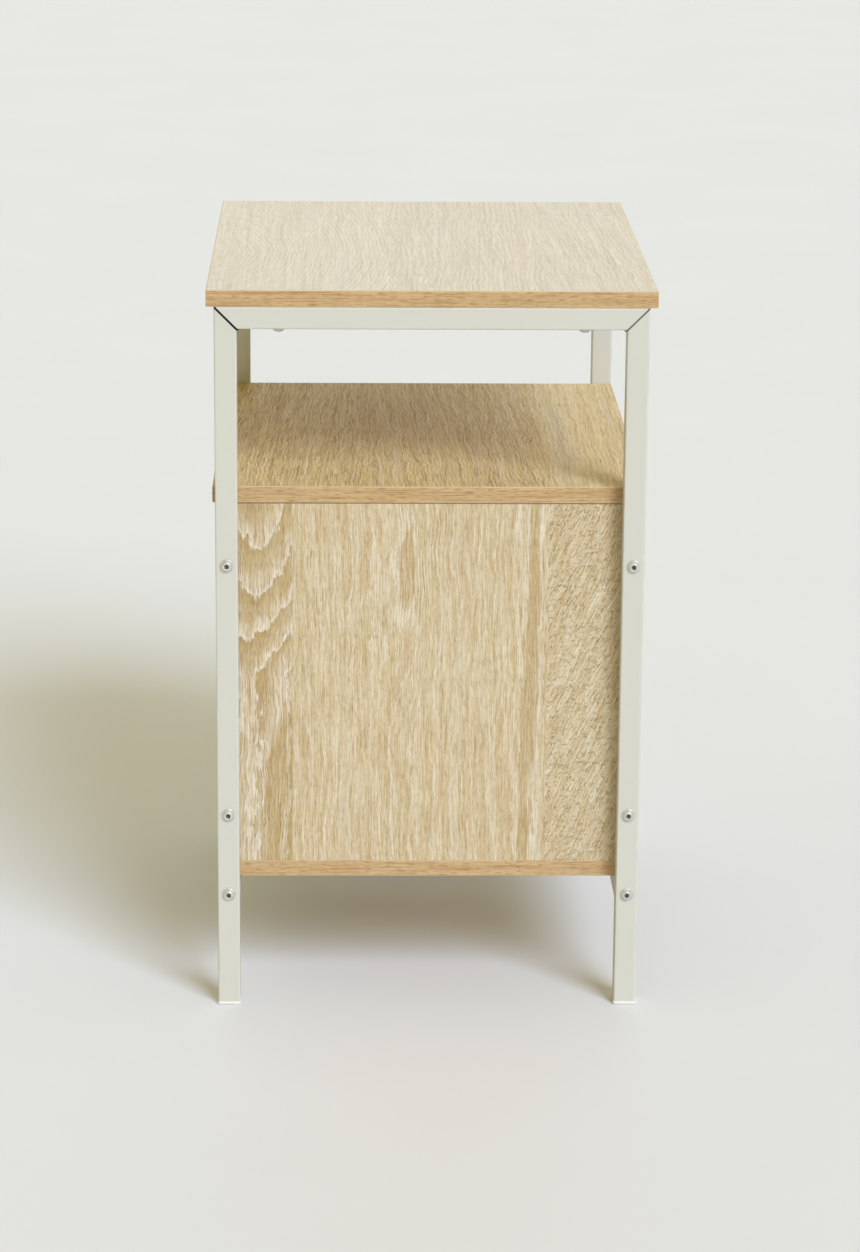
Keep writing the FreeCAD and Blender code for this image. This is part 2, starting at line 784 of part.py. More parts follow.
for end_name, end in ENDS.items():
    save(end_name + "_lower_rail", [lower_rail(end)])
    for side_name, side in SIDES.items():
        save(side_name + "_" + end_name + "_leg", [leg(side, end)])
        save(side_name + "_" + end_name + "_foot_cap", [foot_cap(side, end)])

for side_name, side in SIDES.items():
    save(side_name + "_top_rail", [top_rail(side)])
    save(side_name + "_side_panel", [side_panel(side)])
    panel_low, panel_high = panel_corners(side)
    save(side_name + "_side_panel_edge_bands", edge_bands(panel_low, panel_high, ("front", "rear"), 0))

save("frame_weld_beads", [weld_bead(side, end) for side in SIDES.values() for end in ENDS.values()])
save("tabletop", [tabletop()])
save("tabletop_edge_bands", edge_bands(tabletop_low, tabletop_high, all_round, 2))
save("shelf", [shelf()])
save("shelf_edge_bands", edge_bands(shelf_low, shelf_high, all_round, 2))
save("bottom_board", [flat_board(bottom_low, bottom_high)])
save("bottom_board_edge_bands", edge_bands(bottom_low, bottom_high, all_round, 2))
save("back_panel", [back_panel()])

panel_bolts, panel_nuts = [], []
rail_bolts, rail_nuts = [], []
top_bolts, top_nuts = [], []
cams, cam_bolts, dowels = [], [], []
for side in SIDES.values():
    inward = X_AXIS * -side
    for seat in side_bolt_points(side):
        panel_bolts.append(bolt(seat, inward, tube_size + insert_length))
        panel_nuts.append(insert_nut(seat + inward * tube_size, inward))
    for seat in lower_rail_bolt_points(side):
        rail_bolts.append(bolt(seat, inward, tube_size + end_nut_length))
        rail_nuts.append(end_nut(seat, inward))
    for seat in tabletop_bolt_points(side):
        top_bolts.append(bolt(seat, Z_AXIS, tube_size + insert_length))
        top_nuts.append(insert_nut(seat + Z_AXIS * tube_size, Z_AXIS))
    for place, outward in panel_joints(side):
        for along in (-1, 1):
            cam_place = place + Y_AXIS * along * cam_from_centre
            cams.append(cam(cam_place, outward, side))
            cam_bolts.append(cam_bolt(cam_place, outward))
            dowels.append(dowel(place + Y_AXIS * along * dowel_from_centre, outward))
save("side_panel_bolts", panel_bolts)
save("side_panel_insert_nuts", panel_nuts)
save("lower_rail_bolts", rail_bolts)
save("lower_rail_end_nuts", rail_nuts)
save("tabletop_bolts", top_bolts)
save("tabletop_insert_nuts", top_nuts)
save("cam_discs", cams)
save("cam_bolts", cam_bolts)
save("wood_dowels", dowels)

save("door_panel", [door_panel()])
save("door_edge_bands", door_bands())
save("door_pivot_pins", [pivot_pin(start, direction) for start, direction in pivot_pin_places()])
save("door_pivot_bushes", [bush(1), bush(-1)])
save("push_latch_body", [latch_body()])
save("push_latch_plunger", [plunger()])
save("push_latch_magnet", [magnet()])
save("push_latch_spring", [latch_spring()])
latch_screws = [wood_screw(place, Z_AXIS, screw_length) for place in latch_screw_places()]
save("push_latch_screws", latch_screws)
save("strike_plate", [strike_plate()])
strike_screws = [wood_screw(place, Y_AXIS * -1, screw_length) for place in strike_screw_places()]
save("strike_plate_screw", strike_screws)
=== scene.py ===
# %% [markdown]
# # Dressing a side table
#
# A side table on two steel frames has been drawn as solids: tubes, boards, bolts, a door.
# They have the right size, and no finish.  In this lesson they get one.  The tubes are
# powder coated, the boards get a printed oak paper with plastic edge bands, the fasteners
# get their plating, and the small pieces that a solid shows too plainly (bolts, weld beads,
# foot caps and the latch's spring) are made again as fine surfaces.
#
# Everything is in metres.  The door faces -Y, +X is the right-hand end, +Z is up, and the
# floor is at zero.

# %% Load the solids
import math

import bpy
import numpy as np
from mathutils import Matrix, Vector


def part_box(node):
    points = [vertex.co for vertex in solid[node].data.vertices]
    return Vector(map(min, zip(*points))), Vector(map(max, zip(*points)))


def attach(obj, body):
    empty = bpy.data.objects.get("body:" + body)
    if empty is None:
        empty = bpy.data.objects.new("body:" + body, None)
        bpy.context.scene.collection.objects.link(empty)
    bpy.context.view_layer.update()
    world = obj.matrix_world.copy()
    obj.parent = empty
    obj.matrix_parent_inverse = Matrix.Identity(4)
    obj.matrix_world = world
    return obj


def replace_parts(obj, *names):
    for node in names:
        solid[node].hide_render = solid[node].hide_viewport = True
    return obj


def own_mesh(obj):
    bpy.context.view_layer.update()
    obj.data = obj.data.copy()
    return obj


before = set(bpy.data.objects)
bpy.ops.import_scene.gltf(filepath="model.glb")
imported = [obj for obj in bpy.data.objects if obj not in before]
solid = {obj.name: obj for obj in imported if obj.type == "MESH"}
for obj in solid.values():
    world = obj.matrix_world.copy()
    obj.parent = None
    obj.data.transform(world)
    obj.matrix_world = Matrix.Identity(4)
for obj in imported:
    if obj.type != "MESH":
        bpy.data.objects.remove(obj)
scene = bpy.context.scene
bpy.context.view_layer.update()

# %% [markdown]
# ## A pencil for shader sums
#
# A finish is a sum over the surface: where is this point across the board, how far along the
# grain, inside a dark growth ring or not.  Blender writes such a sum as a net of nodes, which
# is hard to read.  A small class wraps one socket and lets Python's own signs add the Math
# nodes, so a sum is written as a sum.  Colours and vectors don't go through Math nodes, which
# would turn them grey, so every other kind of node comes from the method `node`.

# %% The wire class
class Wire:
    """One socket that carries a value through a material.  Signs on it add Math nodes."""

    def __init__(self, socket):
        self.socket = socket

    def node(self, kind, settings, sockets, output=0):
        """Add a node of any kind: first its settings, then the values or links of its sockets."""
        tree = self.socket.id_data
        made = tree.nodes.new("ShaderNode" + kind)
        for name, value in settings.items():
            if name == "stops":
                ramp = made.color_ramp.elements
                while len(ramp) < len(value):
                    ramp.new(1.0)
                for stop, (position, colour) in zip(ramp, value):
                    stop.position, stop.color = position, colour
            else:
                setattr(made, name, value)
        for name, value in sockets.items():
            if isinstance(value, Wire):
                tree.links.new(value.socket, made.inputs[name])
            else:
                made.inputs[name].default_value = value
        return Wire(made.outputs[output])

    def maths(self, operation, *others):
        """One Math node on this value and any others."""
        return self.node("Math", {"operation": operation}, dict(enumerate((self, *others))))

    def __add__(self, other):
        return self.maths("ADD", other)

    def __sub__(self, other):
        return self.maths("SUBTRACT", other)

    def __rsub__(self, other):
        return self.node("Math", {"operation": "SUBTRACT"}, {0: other, 1: self})

    def __mul__(self, other):
        return self.maths("MULTIPLY", other)

    def __truediv__(self, other):
        return self.maths("DIVIDE", other)

    def __gt__(self, other):
        return self.maths("GREATER_THAN", other)

    __radd__, __rmul__ = __add__, __mul__

    def size(self):
        """The value without its sign."""
        return self.maths("ABSOLUTE")

    def rise(self, start, end):
        """0 below start, 1 above end, and a smooth step between them."""
        return self.node("MapRange", {"interpolation_type": "SMOOTHSTEP"}, {0: self, 1: start, 2: end})


print("signs that add nodes: + - * / >")

# %% [markdown]
# ## Colours as a painter reads them
#
# A colour picker gives screen values from 0 to 255.  A shader works with light, where half
# as bright is half the number.  One helper turns the first into the second, so that each
# colour below can be read and changed with any colour picker.

# %% Screen colours
def paint(red, green, blue):
    """Screen values to light: the straight part below 0.04045, and a power of 2.4 above it."""
    screen = np.array([red, green, blue]) / 255
    light = np.where(screen <= 0.04045, screen / 12.92, ((screen + 0.055) / 1.055) ** 2.4)
    return (*light.tolist(), 1.0)


print("paint(128, 128, 128) is", round(paint(128, 128, 128)[0], 3), "of white light")

# %% [markdown]
# ## A blank finish
#
# Each finish starts as one Principled shader.  What is the same all over the surface, such as
# how metallic it is, is typed into the shader's own socket.  Only what changes from place to
# place is linked.  Patterns read object coordinates: every solid keeps its object at the
# origin, so these are simply metres on the table, and they turn with the door when it opens.

# %% The blank
ALONG_X, ALONG_Y, ALONG_Z = 0, 1, 2


def blank(name, **uniform):
    """A new material with these uniform values: its object coordinates, and a way to finish it."""
    material = bpy.data.materials.new(name)
    material.use_nodes = True
    shader = material.node_tree.nodes["Principled BSDF"]
    for socket, value in uniform.items():
        shader.inputs[socket.replace("_", " ")].default_value = value

    def finish(colour, dull=None, bumps=None):
        """Link what varies over the surface to the shader."""
        for socket, wire in (("Base Color", colour), ("Roughness", dull), ("Normal", bumps)):
            if wire is not None:
                material.node_tree.links.new(wire.socket, shader.inputs[socket])
        return material

    return Wire(material.node_tree.nodes.new("ShaderNodeTexCoord").outputs["Object"]), finish


def axes(place):
    """The three coordinates of a place as separate wires."""
    return [place.node("SeparateXYZ", {}, {0: place}, axis) for axis in (ALONG_X, ALONG_Y, ALONG_Z)]


def mottle(place, stretch, detail=2.0, grit=0.5):
    """Noise from 0 to 1, on average near a half; stretch is the cells in a metre, all ways or each."""
    cells = np.broadcast_to(stretch, 3).tolist()
    where = place.node("VectorMath", {"operation": "MULTIPLY"}, {0: place, 1: cells})
    return place.node("TexNoise", {}, {"Vector": where, "Scale": 1.0, "Detail": detail, "Roughness": grit})


def tint(share, low, high):
    """The colour low where share is 0, high where it is 1 (inputs 6 and 7, and output 2, are colours)."""
    return share.node("Mix", {"data_type": "RGBA"}, {0: share, 6: low, 7: high}, 2)


def layered(colour, *layers):
    """A colour with others laid over it in turn, each by its share."""
    for share, over in layers:
        colour = tint(share, colour, over)
    return colour


def relief(height, depth):
    """Bumps from a height of 0 to 1 that stands for a depth in metres."""
    return height.node("Bump", {}, {"Strength": 1.0, "Distance": depth, "Height": height})


print("helpers ready: blank, axes, mottle, tint, layered, relief")

# %% [markdown]
# ## Powder coat on square tube
#
# The tubes are sprayed with dry powder that melts into an even skin.  Close up it has the
# gentle pits of an orange's peel, a cell every two millimetres or so.  At a sharp arris the
# skin is thinner, so the corner lines are a touch lighter and smoother.  The slit of a mitre
# and a thin strip beside it get a near-black painted shade, less of it at the rear.  One
# function makes the finish for tubes that run up, along or across, because it must know which
# two coordinates measure the tube's square section.  A mitre is known by its slanting faces,
# and on the outer ones by the plane of the cut.

# %% Powder coat
half_tube = 0.010
shade_strip_inner, shade_strip_outer = 0.0008, 0.0012
coat_pale = paint(203, 201, 186)
coat_deep = paint(197, 195, 179)
coat_thin = paint(216, 214, 202)
painted_slit_shade = paint(24, 22, 20)


def middle_of(node):
    """The middle of a node's box."""
    low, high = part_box(node)
    return (low + high) / 2


def powder_coat(name, section):
    """Warm grey powder coat.  section names two axes and the tube's middle on each."""
    place, finish = blank(name, Roughness=0.45, Specular_IOR_Level=0.45)
    coordinates = axes(place)
    peel = mottle(place, 480, 1.0)
    cloud = mottle(place, 9)
    speck = mottle(place, 2600, 0.0)
    near = [(coordinates[axis].size() - middle).size() / half_tube for axis, middle in section]
    arris = near[0].rise(0.86, 0.96) * near[1].rise(0.86, 0.96)
    worn = arris * mottle(place, 60).rise(0.35, 0.6)
    # Painted shade: the mitre's slanting cut faces, and a thin strip beside the cut on the outer faces, go
    # near black as the slit's shade, less of it towards the rear.
    facing = axes(place.node("TexCoord", {}, {}, "Normal"))
    slanting = (facing[ALONG_Y] * facing[ALONG_Z]).size().rise(0.35, 0.45)
    beside = (coordinates[ALONG_Y].size() - coordinates[ALONG_Z] - mitre_line).size() / math.sqrt(2)
    slit_shade = slanting.maths("MAXIMUM", 1 - beside.rise(shade_strip_inner, shade_strip_outer))
    less_shade_behind = 1 - coordinates[ALONG_Y].rise(-0.1, 0.1) * 0.6
    colour = layered(tint(cloud * 0.7 + speck * 0.3, coat_deep, coat_pale),
                     (worn * 0.6, coat_thin), (slit_shade * less_shade_behind, painted_slit_shade))
    dull = 0.38 + cloud * 0.1 + peel * 0.06 - worn * 0.08
    return finish(colour, dull, relief(peel * 0.85 + speck * 0.15, 0.00003))


mitre_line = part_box("right_rear_leg")[1].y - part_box("right_top_rail")[1].z
leg, top_rail = middle_of("right_rear_leg"), middle_of("right_top_rail")
low_rail = middle_of("rear_lower_rail")
coat_upright = powder_coat("powder_coat_upright", ((ALONG_X, leg.x), (ALONG_Y, leg.y)))
coat_across = powder_coat("powder_coat_across", ((ALONG_X, top_rail.x), (ALONG_Z, top_rail.z)))
coat_along = powder_coat("powder_coat_along", ((ALONG_Y, low_rail.y), (ALONG_Z, low_rail.z)))
print("leg middle:", [round(value, 4) for value in leg])

# %% [markdown]
# ## Printed oak: the planks
#
# The boards aren't planks.  They are particle board under a paper printed with several oak
# planks side by side, so one board shows two or three figures that stop dead at a seam.  Each
# plank needs its own numbers: where the heart of the tree lies, how far apart the rings are.
# A seam is a step from 0 to 1, so a number for each plank is the first plank's number plus
# each step times the change there.

# %% Numbers by plank
def by_plank(across, seams):
    """A function that turns one number for each plank into a wire with the number of the plank here."""
    steps = [across > seam for seam in seams]

    def pick(numbers):
        """The first plank's number, plus each step times the change there; one number serves all."""
        numbers = np.broadcast_to(numbers, len(seams) + 1).tolist()
        picked = across * 0 + numbers[0]
        for step, before, after in zip(steps, numbers, numbers[1:]):
            if after != before:
                picked = picked + step * (after - before)
        return picked

    return pick


print("a board with two seams has three planks")

# %% [markdown]
# ## Printed oak: the rings
#
# A log is a stack of cones, one for each year, and a plank is a flat cut through it.  The
# distance from the log's heart to a point of the cut, counted in ring widths, tells which
# year the wood there grew in.  Its fraction runs from 0 to 1 within the year.  Where the
# heart slopes through the cut, the same sum draws the pointed arches of flat-sawn wood; where
# the heart is far off to one side it draws straight lines.  Slow noise makes the rings
# wander, and fast thin noise frays their edges as cut pores do.  A swelling of the trunk shows
# as an island: a bell curve over the cut, with wood of one year inside a level of it.  Near a
# knot the same curve is added to the years, which bends the rings round it.

# %% Growth rings
def growth(across, along, grain, pick, plank):
    """Years since the heart: its distance over the ring width, plus wander, waves and fray."""
    settled = along.maths("MAXIMUM", plank["settle"])
    drop = (plank["bend"] - settled).maths("MAXIMUM", 0)
    aside = across - pick(plank["heart"]) + drop * pick(plank["slide"])
    below = pick(plank["depth"]) + settled * pick(plank["tilt"])
    years = (aside * aside + below * below).maths("SQRT") / pick(plank["ring"])
    noises = (("wander", (16, 5, 1), 0.5), ("waves", (120, 45, 1), 0.6), ("fray", (700, 60, 1), 0.7))
    for strength, stretch, grit in noises:
        years = years + (mottle(grain, stretch, 2.0, grit) - 0.5) * pick(plank[strength])
    return years


def bells(across, along, pick, places):
    """Bell curves, each on its plank: e to the power of minus the squared distance, in half widths."""
    height = across * 0
    for middle_across, middle_along, half_across, half_along, on_planks in places:
        reach = (across - middle_across) / half_across
        run = (along - middle_along) / half_along
        height = height + ((reach * reach + run * run) * -1).maths("EXPONENT") * pick(on_planks)
    return height


print("rings: heart, depth, tilt, ring, wander, waves, fray, knots and islands")

# %% [markdown]
# ## Printed oak: the whole paper
#
# From fine to coarse, the paper shows: thin threads of cream and tan, short dark pores, pale
# limed pores beside them, wavy creases where the plate pressed deepest, broader streaks of a
# pinkish or an ashen tone, the rings, and here and there a row of ray flecks across the grain.
# All of them are noise that is stretched along the grain, each by its own amount, and each
# tints the colour below it.  A crease is where such noise passes its middle level, which draws
# thin lines and not spots.  The press embosses pores and creases, so the same masks drive the
# bumps.  Where a cut shows the board's core, past the printed faces, the pattern gives way to
# wood chips.

# %% Oak print
oak_shades = [(0.0, paint(168, 138, 94)), (0.4, paint(194, 172, 129)),
              (0.75, paint(207, 190, 154)), (1.0, paint(218, 206, 176))]
oak_gold = paint(173, 145, 92)
oak_pore = paint(134, 104, 66)
oak_lime = paint(222, 212, 190)
oak_blush = paint(196, 165, 124)
oak_ash = paint(204, 193, 164)
oak_joint = paint(84, 60, 38)
chip_pale = paint(206, 176, 132)
chip_dark = paint(140, 104, 66)
joint_start, joint_full = -0.0012, -0.0005
plank_shift = 3.7


def oak_print(name, seed, sheen, plank):
    """Printed oak.  Its axes say where the grain runs, what lies across it and where the board faces."""
    place, finish = blank(name, Roughness=0.5, Specular_IOR_Level=plank["gloss"],
                          Coat_Weight=sheen, Coat_Roughness=0.4)
    along_axis, across_axis, face_axis = plank["axes"]
    along, across = axes(place)[along_axis], axes(place)[across_axis]
    pick = by_plank(across, plank["seams"])
    shift = pick([seed + plank_shift * count for count in range(len(plank["heart"]))])
    further = along + shift
    leaning = across + along * pick(plank["lean"])
    grain = place.node("CombineXYZ", {}, {0: leaning, 1: further, 2: shift})
    sway = (mottle(grain, (9, 22, 1)) - 0.5) * 0.006
    crinkle = (mottle(grain, (45, 60, 2)) - 0.5) * pick(plank["crinkle"])
    bent = leaning + sway + crinkle
    grain = place.node("CombineXYZ", {}, {0: bent, 1: further, 2: shift})
    fine = place.node("CombineXYZ", {}, {0: bent, 1: further * pick(plank["run"]), 2: shift})
    across = across + sway

    years = growth(across, along, grain, pick, plank) + bells(across, along, pick, plank["knots"])
    fraction = years.maths("FRACT")
    ripple = (((years * 3).maths("FRACT") - 0.5).size() * 2 - 0.5) * pick(plank["ripple"])
    thread = mottle(fine, (900, 15, 1), 2.0, 0.65)
    dash = mottle(fine, (620, 90, 5), 2.0, 0.6)
    streak = mottle(grain, (130, 3, 1), 3.0, 0.6)
    blush = mottle(fine, (150, 7, 13), 3.0, 0.6).rise(0.5, 0.66) * pick(plank["blush"])
    ash = mottle(fine, (110, 5, 17), 3.0, 0.6).rise(0.5, 0.66) * pick(plank["ash"])
    bold = pick(plank["bold"]) * (mottle(grain, (26, 3, 3), 1.0).rise(0.3, 0.65) * 0.6 + 0.4)
    late = ((1 - fraction) * 1.15 - 0.15).maths("MAXIMUM", 0) * bold
    frayed_edge = fraction.rise(0.8, 0.97) * 0.5 + thread.rise(0.42, 0.58) * 0.75
    rim = fraction.rise(0.5, 0.95) * frayed_edge * bold
    ragged = (mottle(grain, (260, 24, 6), 3.0, 0.7) - 0.5) * 0.55
    island = bells(across, along, pick, plank["islands"]) + ragged
    inside = island.rise(0.44, 0.56)
    shore = island.rise(0.22, 0.44) * (1 - inside) * (thread.rise(0.4, 0.6) * 0.7 + 0.1)
    pore = mottle(fine, (900, 110, 4), 1.0, 0.4).rise(0.58, 0.7) * pick(plank["pores"])
    lime = mottle(fine, (900, 60, 7), 1.0, 0.4).rise(0.56, 0.7) * pick(plank["limes"])
    thin_line = 1 - (mottle(fine, (260, 30, 9), 1.0) - 0.5).size().rise(0.0, 0.045)
    crease = thin_line * mottle(fine, (130, 90, 12), 1.0).rise(0.4, 0.6) * pick(plank["creases"])
    ray = mottle(grain, (60, 330, 1)).rise(0.55, 0.72) * mottle(grain, (14, 10, 1)).rise(0.5, 0.65)
    # Painted shade: on a side panel, a dark line along the panel's top millimetre, just under the shelf,
    # where the joint's shade falls.
    joint = (along - plank["joint"]).rise(joint_start, joint_full)
    core = 1 - axes(place.node("TexCoord", {}, {}, "Normal"))[face_axis].size().rise(0.4, 0.6)
    chips = mottle(place, (260, 260, 700), 2.0, 0.7).rise(0.35, 0.7)

    tone = (thread - 0.5) * pick(plank["threads"]) + (dash - 0.5) * 0.7 + (streak - 0.5) * 0.6
    tone = tone + ripple + pick(plank["tone"])
    # Painted light: the shades are multiplied by a tint that stands in for warm light in the shade; it is 1
    # on boards that need none.
    painted_light_tint = np.append(plank["painted_light_tint"], 1)
    shades = [(stop, np.minimum(painted_light_tint * shade, 1).tolist()) for stop, shade in oak_shades]
    colour = layered(
        tone.node("ValToRGB", {"stops": shades}, {0: tone}),
        (blush * 0.5, oak_blush),
        (ash * 0.6, oak_ash),
        (late * (thread.rise(0.35, 0.6) * 0.35 + 0.65), oak_gold),
        (rim.maths("MINIMUM", 0.85), oak_lime),
        (inside * (0.75 - thread.rise(0.35, 0.65) * 0.45), oak_gold),
        (shore * 0.8, oak_lime),
        (lime * 0.5, oak_lime),
        (pore * 0.7 + crease * 0.45, oak_pore),
        (ray * pick(plank["rays"]) * 0.6, oak_lime),
        (joint * 0.7, oak_joint),
        (core, tint(chips, chip_pale, chip_dark)),
    )
    dull = 0.4 + pore * 0.15 + (1 - thread) * 0.12 + core * 0.3
    raised = thread * 0.5 + lime * 0.25 + ripple * 0.6 + (1 - core) * 0.5
    height = raised - pore * 0.6 - crease * 0.8 - late * 0.12
    return finish(colour, dull, relief(height, plank["press"]))


print("one function prints every board")

# %% [markdown]
# ## The figures of each board
#
# The side panel shows three planks: a strip of bold arches at the front, a wide straight one
# with a small eye, and a coarse one that leans at the rear.  The tabletop and the shelf carry
# the same kinds of plank with the grain running from one end frame to the other.  A group of
# numbers holds one for each plank, and a single number serves all of them.  Below the height
# settle the rings run straight, and below bend their middle slides to one side.

# %% Board by board
# A side panel gets a painted shade line just under the shelf; the other boards put that line far off,
# outside the board.
no_joint = 9.0
level_boards = dict(axes=(ALONG_X, ALONG_Y, ALONG_Z), joint=no_joint, settle=-1.0, bend=-1.0, slide=0.0,
                    run=0.3, islands=(), knots=())
side_planks = dict(
    axes=(ALONG_Z, ALONG_Y, ALONG_X), gloss=0.4, press=0.0007, painted_light_tint=(1, 1, 1),
    joint=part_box("shelf")[0].z, settle=0.313, bend=0.39, seams=(-0.1245, 0.1075),
    heart=(-0.157, 0.42, 0.36), depth=(0.1637, 0.03, 0.05), tilt=(-0.32, 0.0, 0.02), slide=(0.25, 0.0, 0.0),
    ring=(0.0135, 0.019, 0.02), wander=(0.9, 1.8, 1.2), waves=(0.8, 0.5, 0.5), fray=(0.35, 0.3, 0.2),
    islands=((-0.125, 0.14, 0.03, 0.176, (1, 0, 0)), (-0.0205, 0.413, 0.011, 0.06, (0, 0.78, 0)),
             (0.0965, 0.42, 0.0065, 0.3, (0, 0.75, 0)), (0.086, 0.18, 0.006, 0.22, (0, 0.72, 0))),
    knots=((-0.0205, 0.413, 0.022, 0.12, (0, 1.6, 0)),), ripple=(0.1, 0.3, 0.0), bold=(1.0, 0.35, 0.15),
    lean=(0.0, 0.01, -0.45), crinkle=(0.004, 0.001, 0.003), run=(1.0, 1.6, 3.5), threads=(2.0, 2.1, 2.5),
    tone=(0.5, 0.6, 0.56), blush=(0.3, 0.7, 0.6), ash=(0.4, 0.7, 0.5), pores=(0.4, 0.3, 0.5), limes=0.5,
    creases=(0.4, 0.3, 0.8), rays=(0.1, 0.1, 0.9),
)
top_planks = dict(
    level_boards, gloss=0.5, press=0.0003, painted_light_tint=(1, 1, 1), seams=(-0.037, 0.1017),
    heart=(-0.2, 0.31, 0.4), depth=(-0.0165, 0.05, 0.04), tilt=(0.33, -0.03, 0.02),
    ring=(0.012, 0.014, 0.013), wander=(1.0, 2.2, 1.6), waves=(0.3, 0.35, 0.35), fray=0.2,
    ripple=(0.45, 0.4, 0.3), bold=0.2, lean=(0.0, 0.02, -0.05), crinkle=0.003, threads=(1.5, 1.5, 1.2),
    tone=(0.56, 0.5, 0.54), blush=(0.5, 0.9, 0.5), ash=(0.4, 0.2, 0.5), pores=(0.3, 0.3, 0.4), limes=0.5,
    creases=(0.4, 0.5, 0.7), rays=(0.2, 0.3, 0.3),
)
# The shelf's print, and the bottom board's with it, is tinted warmer and brighter: painted light for the
# warm shade between the boards.
shelf_planks = dict(
    level_boards, gloss=0.1, press=0.0008, painted_light_tint=(1.16, 1.08, 0.83), seams=(-0.049, 0.11),
    heart=(-0.4, 0.3, 0.45), depth=(0.05, 0.05, 0.04), tilt=(0.05, -0.06, 0.02),
    ring=(0.013, 0.012, 0.014), wander=(1.5, 1.8, 1.3), waves=(0.7, 0.7, 0.5), fray=0.25,
    ripple=(0.4, 0.4, 0.3), bold=0.25, lean=(0.04, -0.04, 0.0), crinkle=0.004, threads=(2.3, 2.2, 1.6),
    # The third plank, at the right, has a paler tone: painted light where the window lights the shelf, on
    # the bottom board too.
    tone=(0.52, 0.53, 0.76), blush=(0.3, 0.6, 0.3), ash=(0.2, 0.4, 0.7), pores=(0.45, 0.4, 0.3),
    limes=(0.4, 0.5, 0.6), creases=(0.8, 0.7, 0.45), rays=(0.5, 0.3, 0.3),
)
oak_top = oak_print("oak_print_tabletop", 1.3, 1.0, top_planks)
oak_shelf = oak_print("oak_print_shelf", 5.1, 0.0, shelf_planks)
oak_bottom = oak_print("oak_print_bottom_board", 8.9, 0.1, shelf_planks)
oak_right = oak_print("oak_print_right_panel", 2.2, 0.1, side_planks)
oak_left = oak_print("oak_print_left_panel", 6.4, 0.1, side_planks)
print("planks on a side panel:", len(side_planks["heart"]))

# %% [markdown]
# ## The door's figure
#
# The door is cut from the same printed sheet as the side panels, with its grain upright.  It
# has four planks from left to right, and each takes over much of one plank of the side panel.

# %% Door print
side_plank = (2, 0, 1, 2)
taken_over = ("waves", "fray", "crinkle", "run", "threads", "tone", "blush", "ash", "pores")
door_planks = dict(
    side_planks, **{word: [side_planks[word][number] for number in side_plank] for word in taken_over},
    axes=(ALONG_Z, ALONG_X, ALONG_Y), joint=no_joint, settle=0.2, bend=0.0, seams=(-0.118, 0.046, 0.171),
    heart=(-0.5, -0.03, 0.5, 0.6), depth=(0.03, 0.15, 0.04, 0.04), tilt=(0.0, -0.25, 0.02, 0.0), slide=0.0,
    ring=(0.02, 0.012, 0.019, 0.02), wander=(1.3, 1.2, 1.5, 1.3),
    islands=((0.12, 0.27, 0.011, 0.06, (0, 0, 0.78, 0)), (-0.03, 0.12, 0.03, 0.1, (0, 1, 0, 0)),
             (0.15, 0.3, 0.006, 0.6, (0, 0, 0.75, 0))),
    knots=((0.12, 0.27, 0.022, 0.12, (0, 0, 1.6, 0)),), ripple=(0.0, 0.1, 0.0, 0.0),
    bold=(0.15, 0.9, 0.35, 0.15), lean=(-0.4, 0.0, 0.02, 0.3), creases=(0.7, 0.4, 0.2, 0.7),
    rays=(0.6, 0.1, 0.1, 0.6),
)
oak_door = oak_print("oak_print_door", 4.6, 0.1, door_planks)
print("planks on the door:", len(door_planks["heart"]))

# %% [markdown]
# ## Edge bands
#
# A board's raw edges are covered with a millimetre of plastic band, glued on hot and rounded
# by a scraper.  It is printed too, in a warmer, plainer wood: thin streaks that run along the
# edge.  Noise that is slow along the board and fast through its thickness gives streaks on
# all four sides at once.  Along each rounded arris a thin pale line is painted on: a painted
# highlight where light would catch the rounding.

# %% Edge band
band_tan = paint(184, 150, 101)
band_amber = paint(148, 109, 64)
band_cream = paint(200, 171, 125)
band_arris_highlight = paint(212, 188, 148)


def edge_band(name, through_axis, boards):
    """Wood-print edge band: streaks that are fast through the board, a painted highlight on the arrises at
    the board's two faces.
    """
    place, finish = blank(name, Roughness=0.4, Specular_IOR_Level=0.5)

    def stretch(slow, fast):
        """Cells in a metre: many through the board's thickness, few the other two ways."""
        return [fast if axis == through_axis else slow for axis in (ALONG_X, ALONG_Y, ALONG_Z)]

    line = mottle(place, stretch(18, 1000), 3.0, 0.6)
    wave = mottle(place, stretch(3, 250))
    fleck = mottle(place, stretch(100, 1700), 1.0).rise(0.52, 0.66)
    through = axes(place)[through_axis].size()
    # Painted highlight: a thin pale line along each rounded arris, at both faces of each board.
    arris = 0
    for board in boards:
        low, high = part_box(board)
        half = (high - low)[through_axis] / 2
        off = (through - abs(middle_of(board)[through_axis])).size()
        arris = arris + off.rise(half - 0.0011, half - 0.0003) * (1 - off.rise(half + 0.001, half + 0.002))
    colour = layered(tint((line - 0.5) * 2.6 + (wave - 0.5) * 1.6 + 0.5, band_tan, band_cream),
                     ((0.5 - line).rise(0.02, 0.16) * 0.6, band_amber),
                     (fleck * 0.7, band_amber), (arris * 0.8, band_arris_highlight))
    dull = 0.36 + line * 0.12 + fleck * 0.1
    return finish(colour, dull, relief(line * 0.5 + (1 - fleck) * 0.3, 0.00008))


flat_bands = ["tabletop_edge_bands", "shelf_edge_bands", "bottom_board_edge_bands"]
band_flat = edge_band("edge_band_level", ALONG_Z, flat_bands)
band_side = edge_band("edge_band_upright", ALONG_X, ["right_side_panel"])
band_door = edge_band("edge_band_door", ALONG_Y, ["door_panel"])

# %% [markdown]
# ## Plated steel
#
# The bolts and screws are steel with a thin bright plating of zinc.  Metal has no colour of
# its own under the light: its base colour is what it mirrors back.  Cloudy changes of
# roughness and fine scratches make it look plated and not chromed.  The nuts inside the
# boards get a duller, slightly yellow plating.

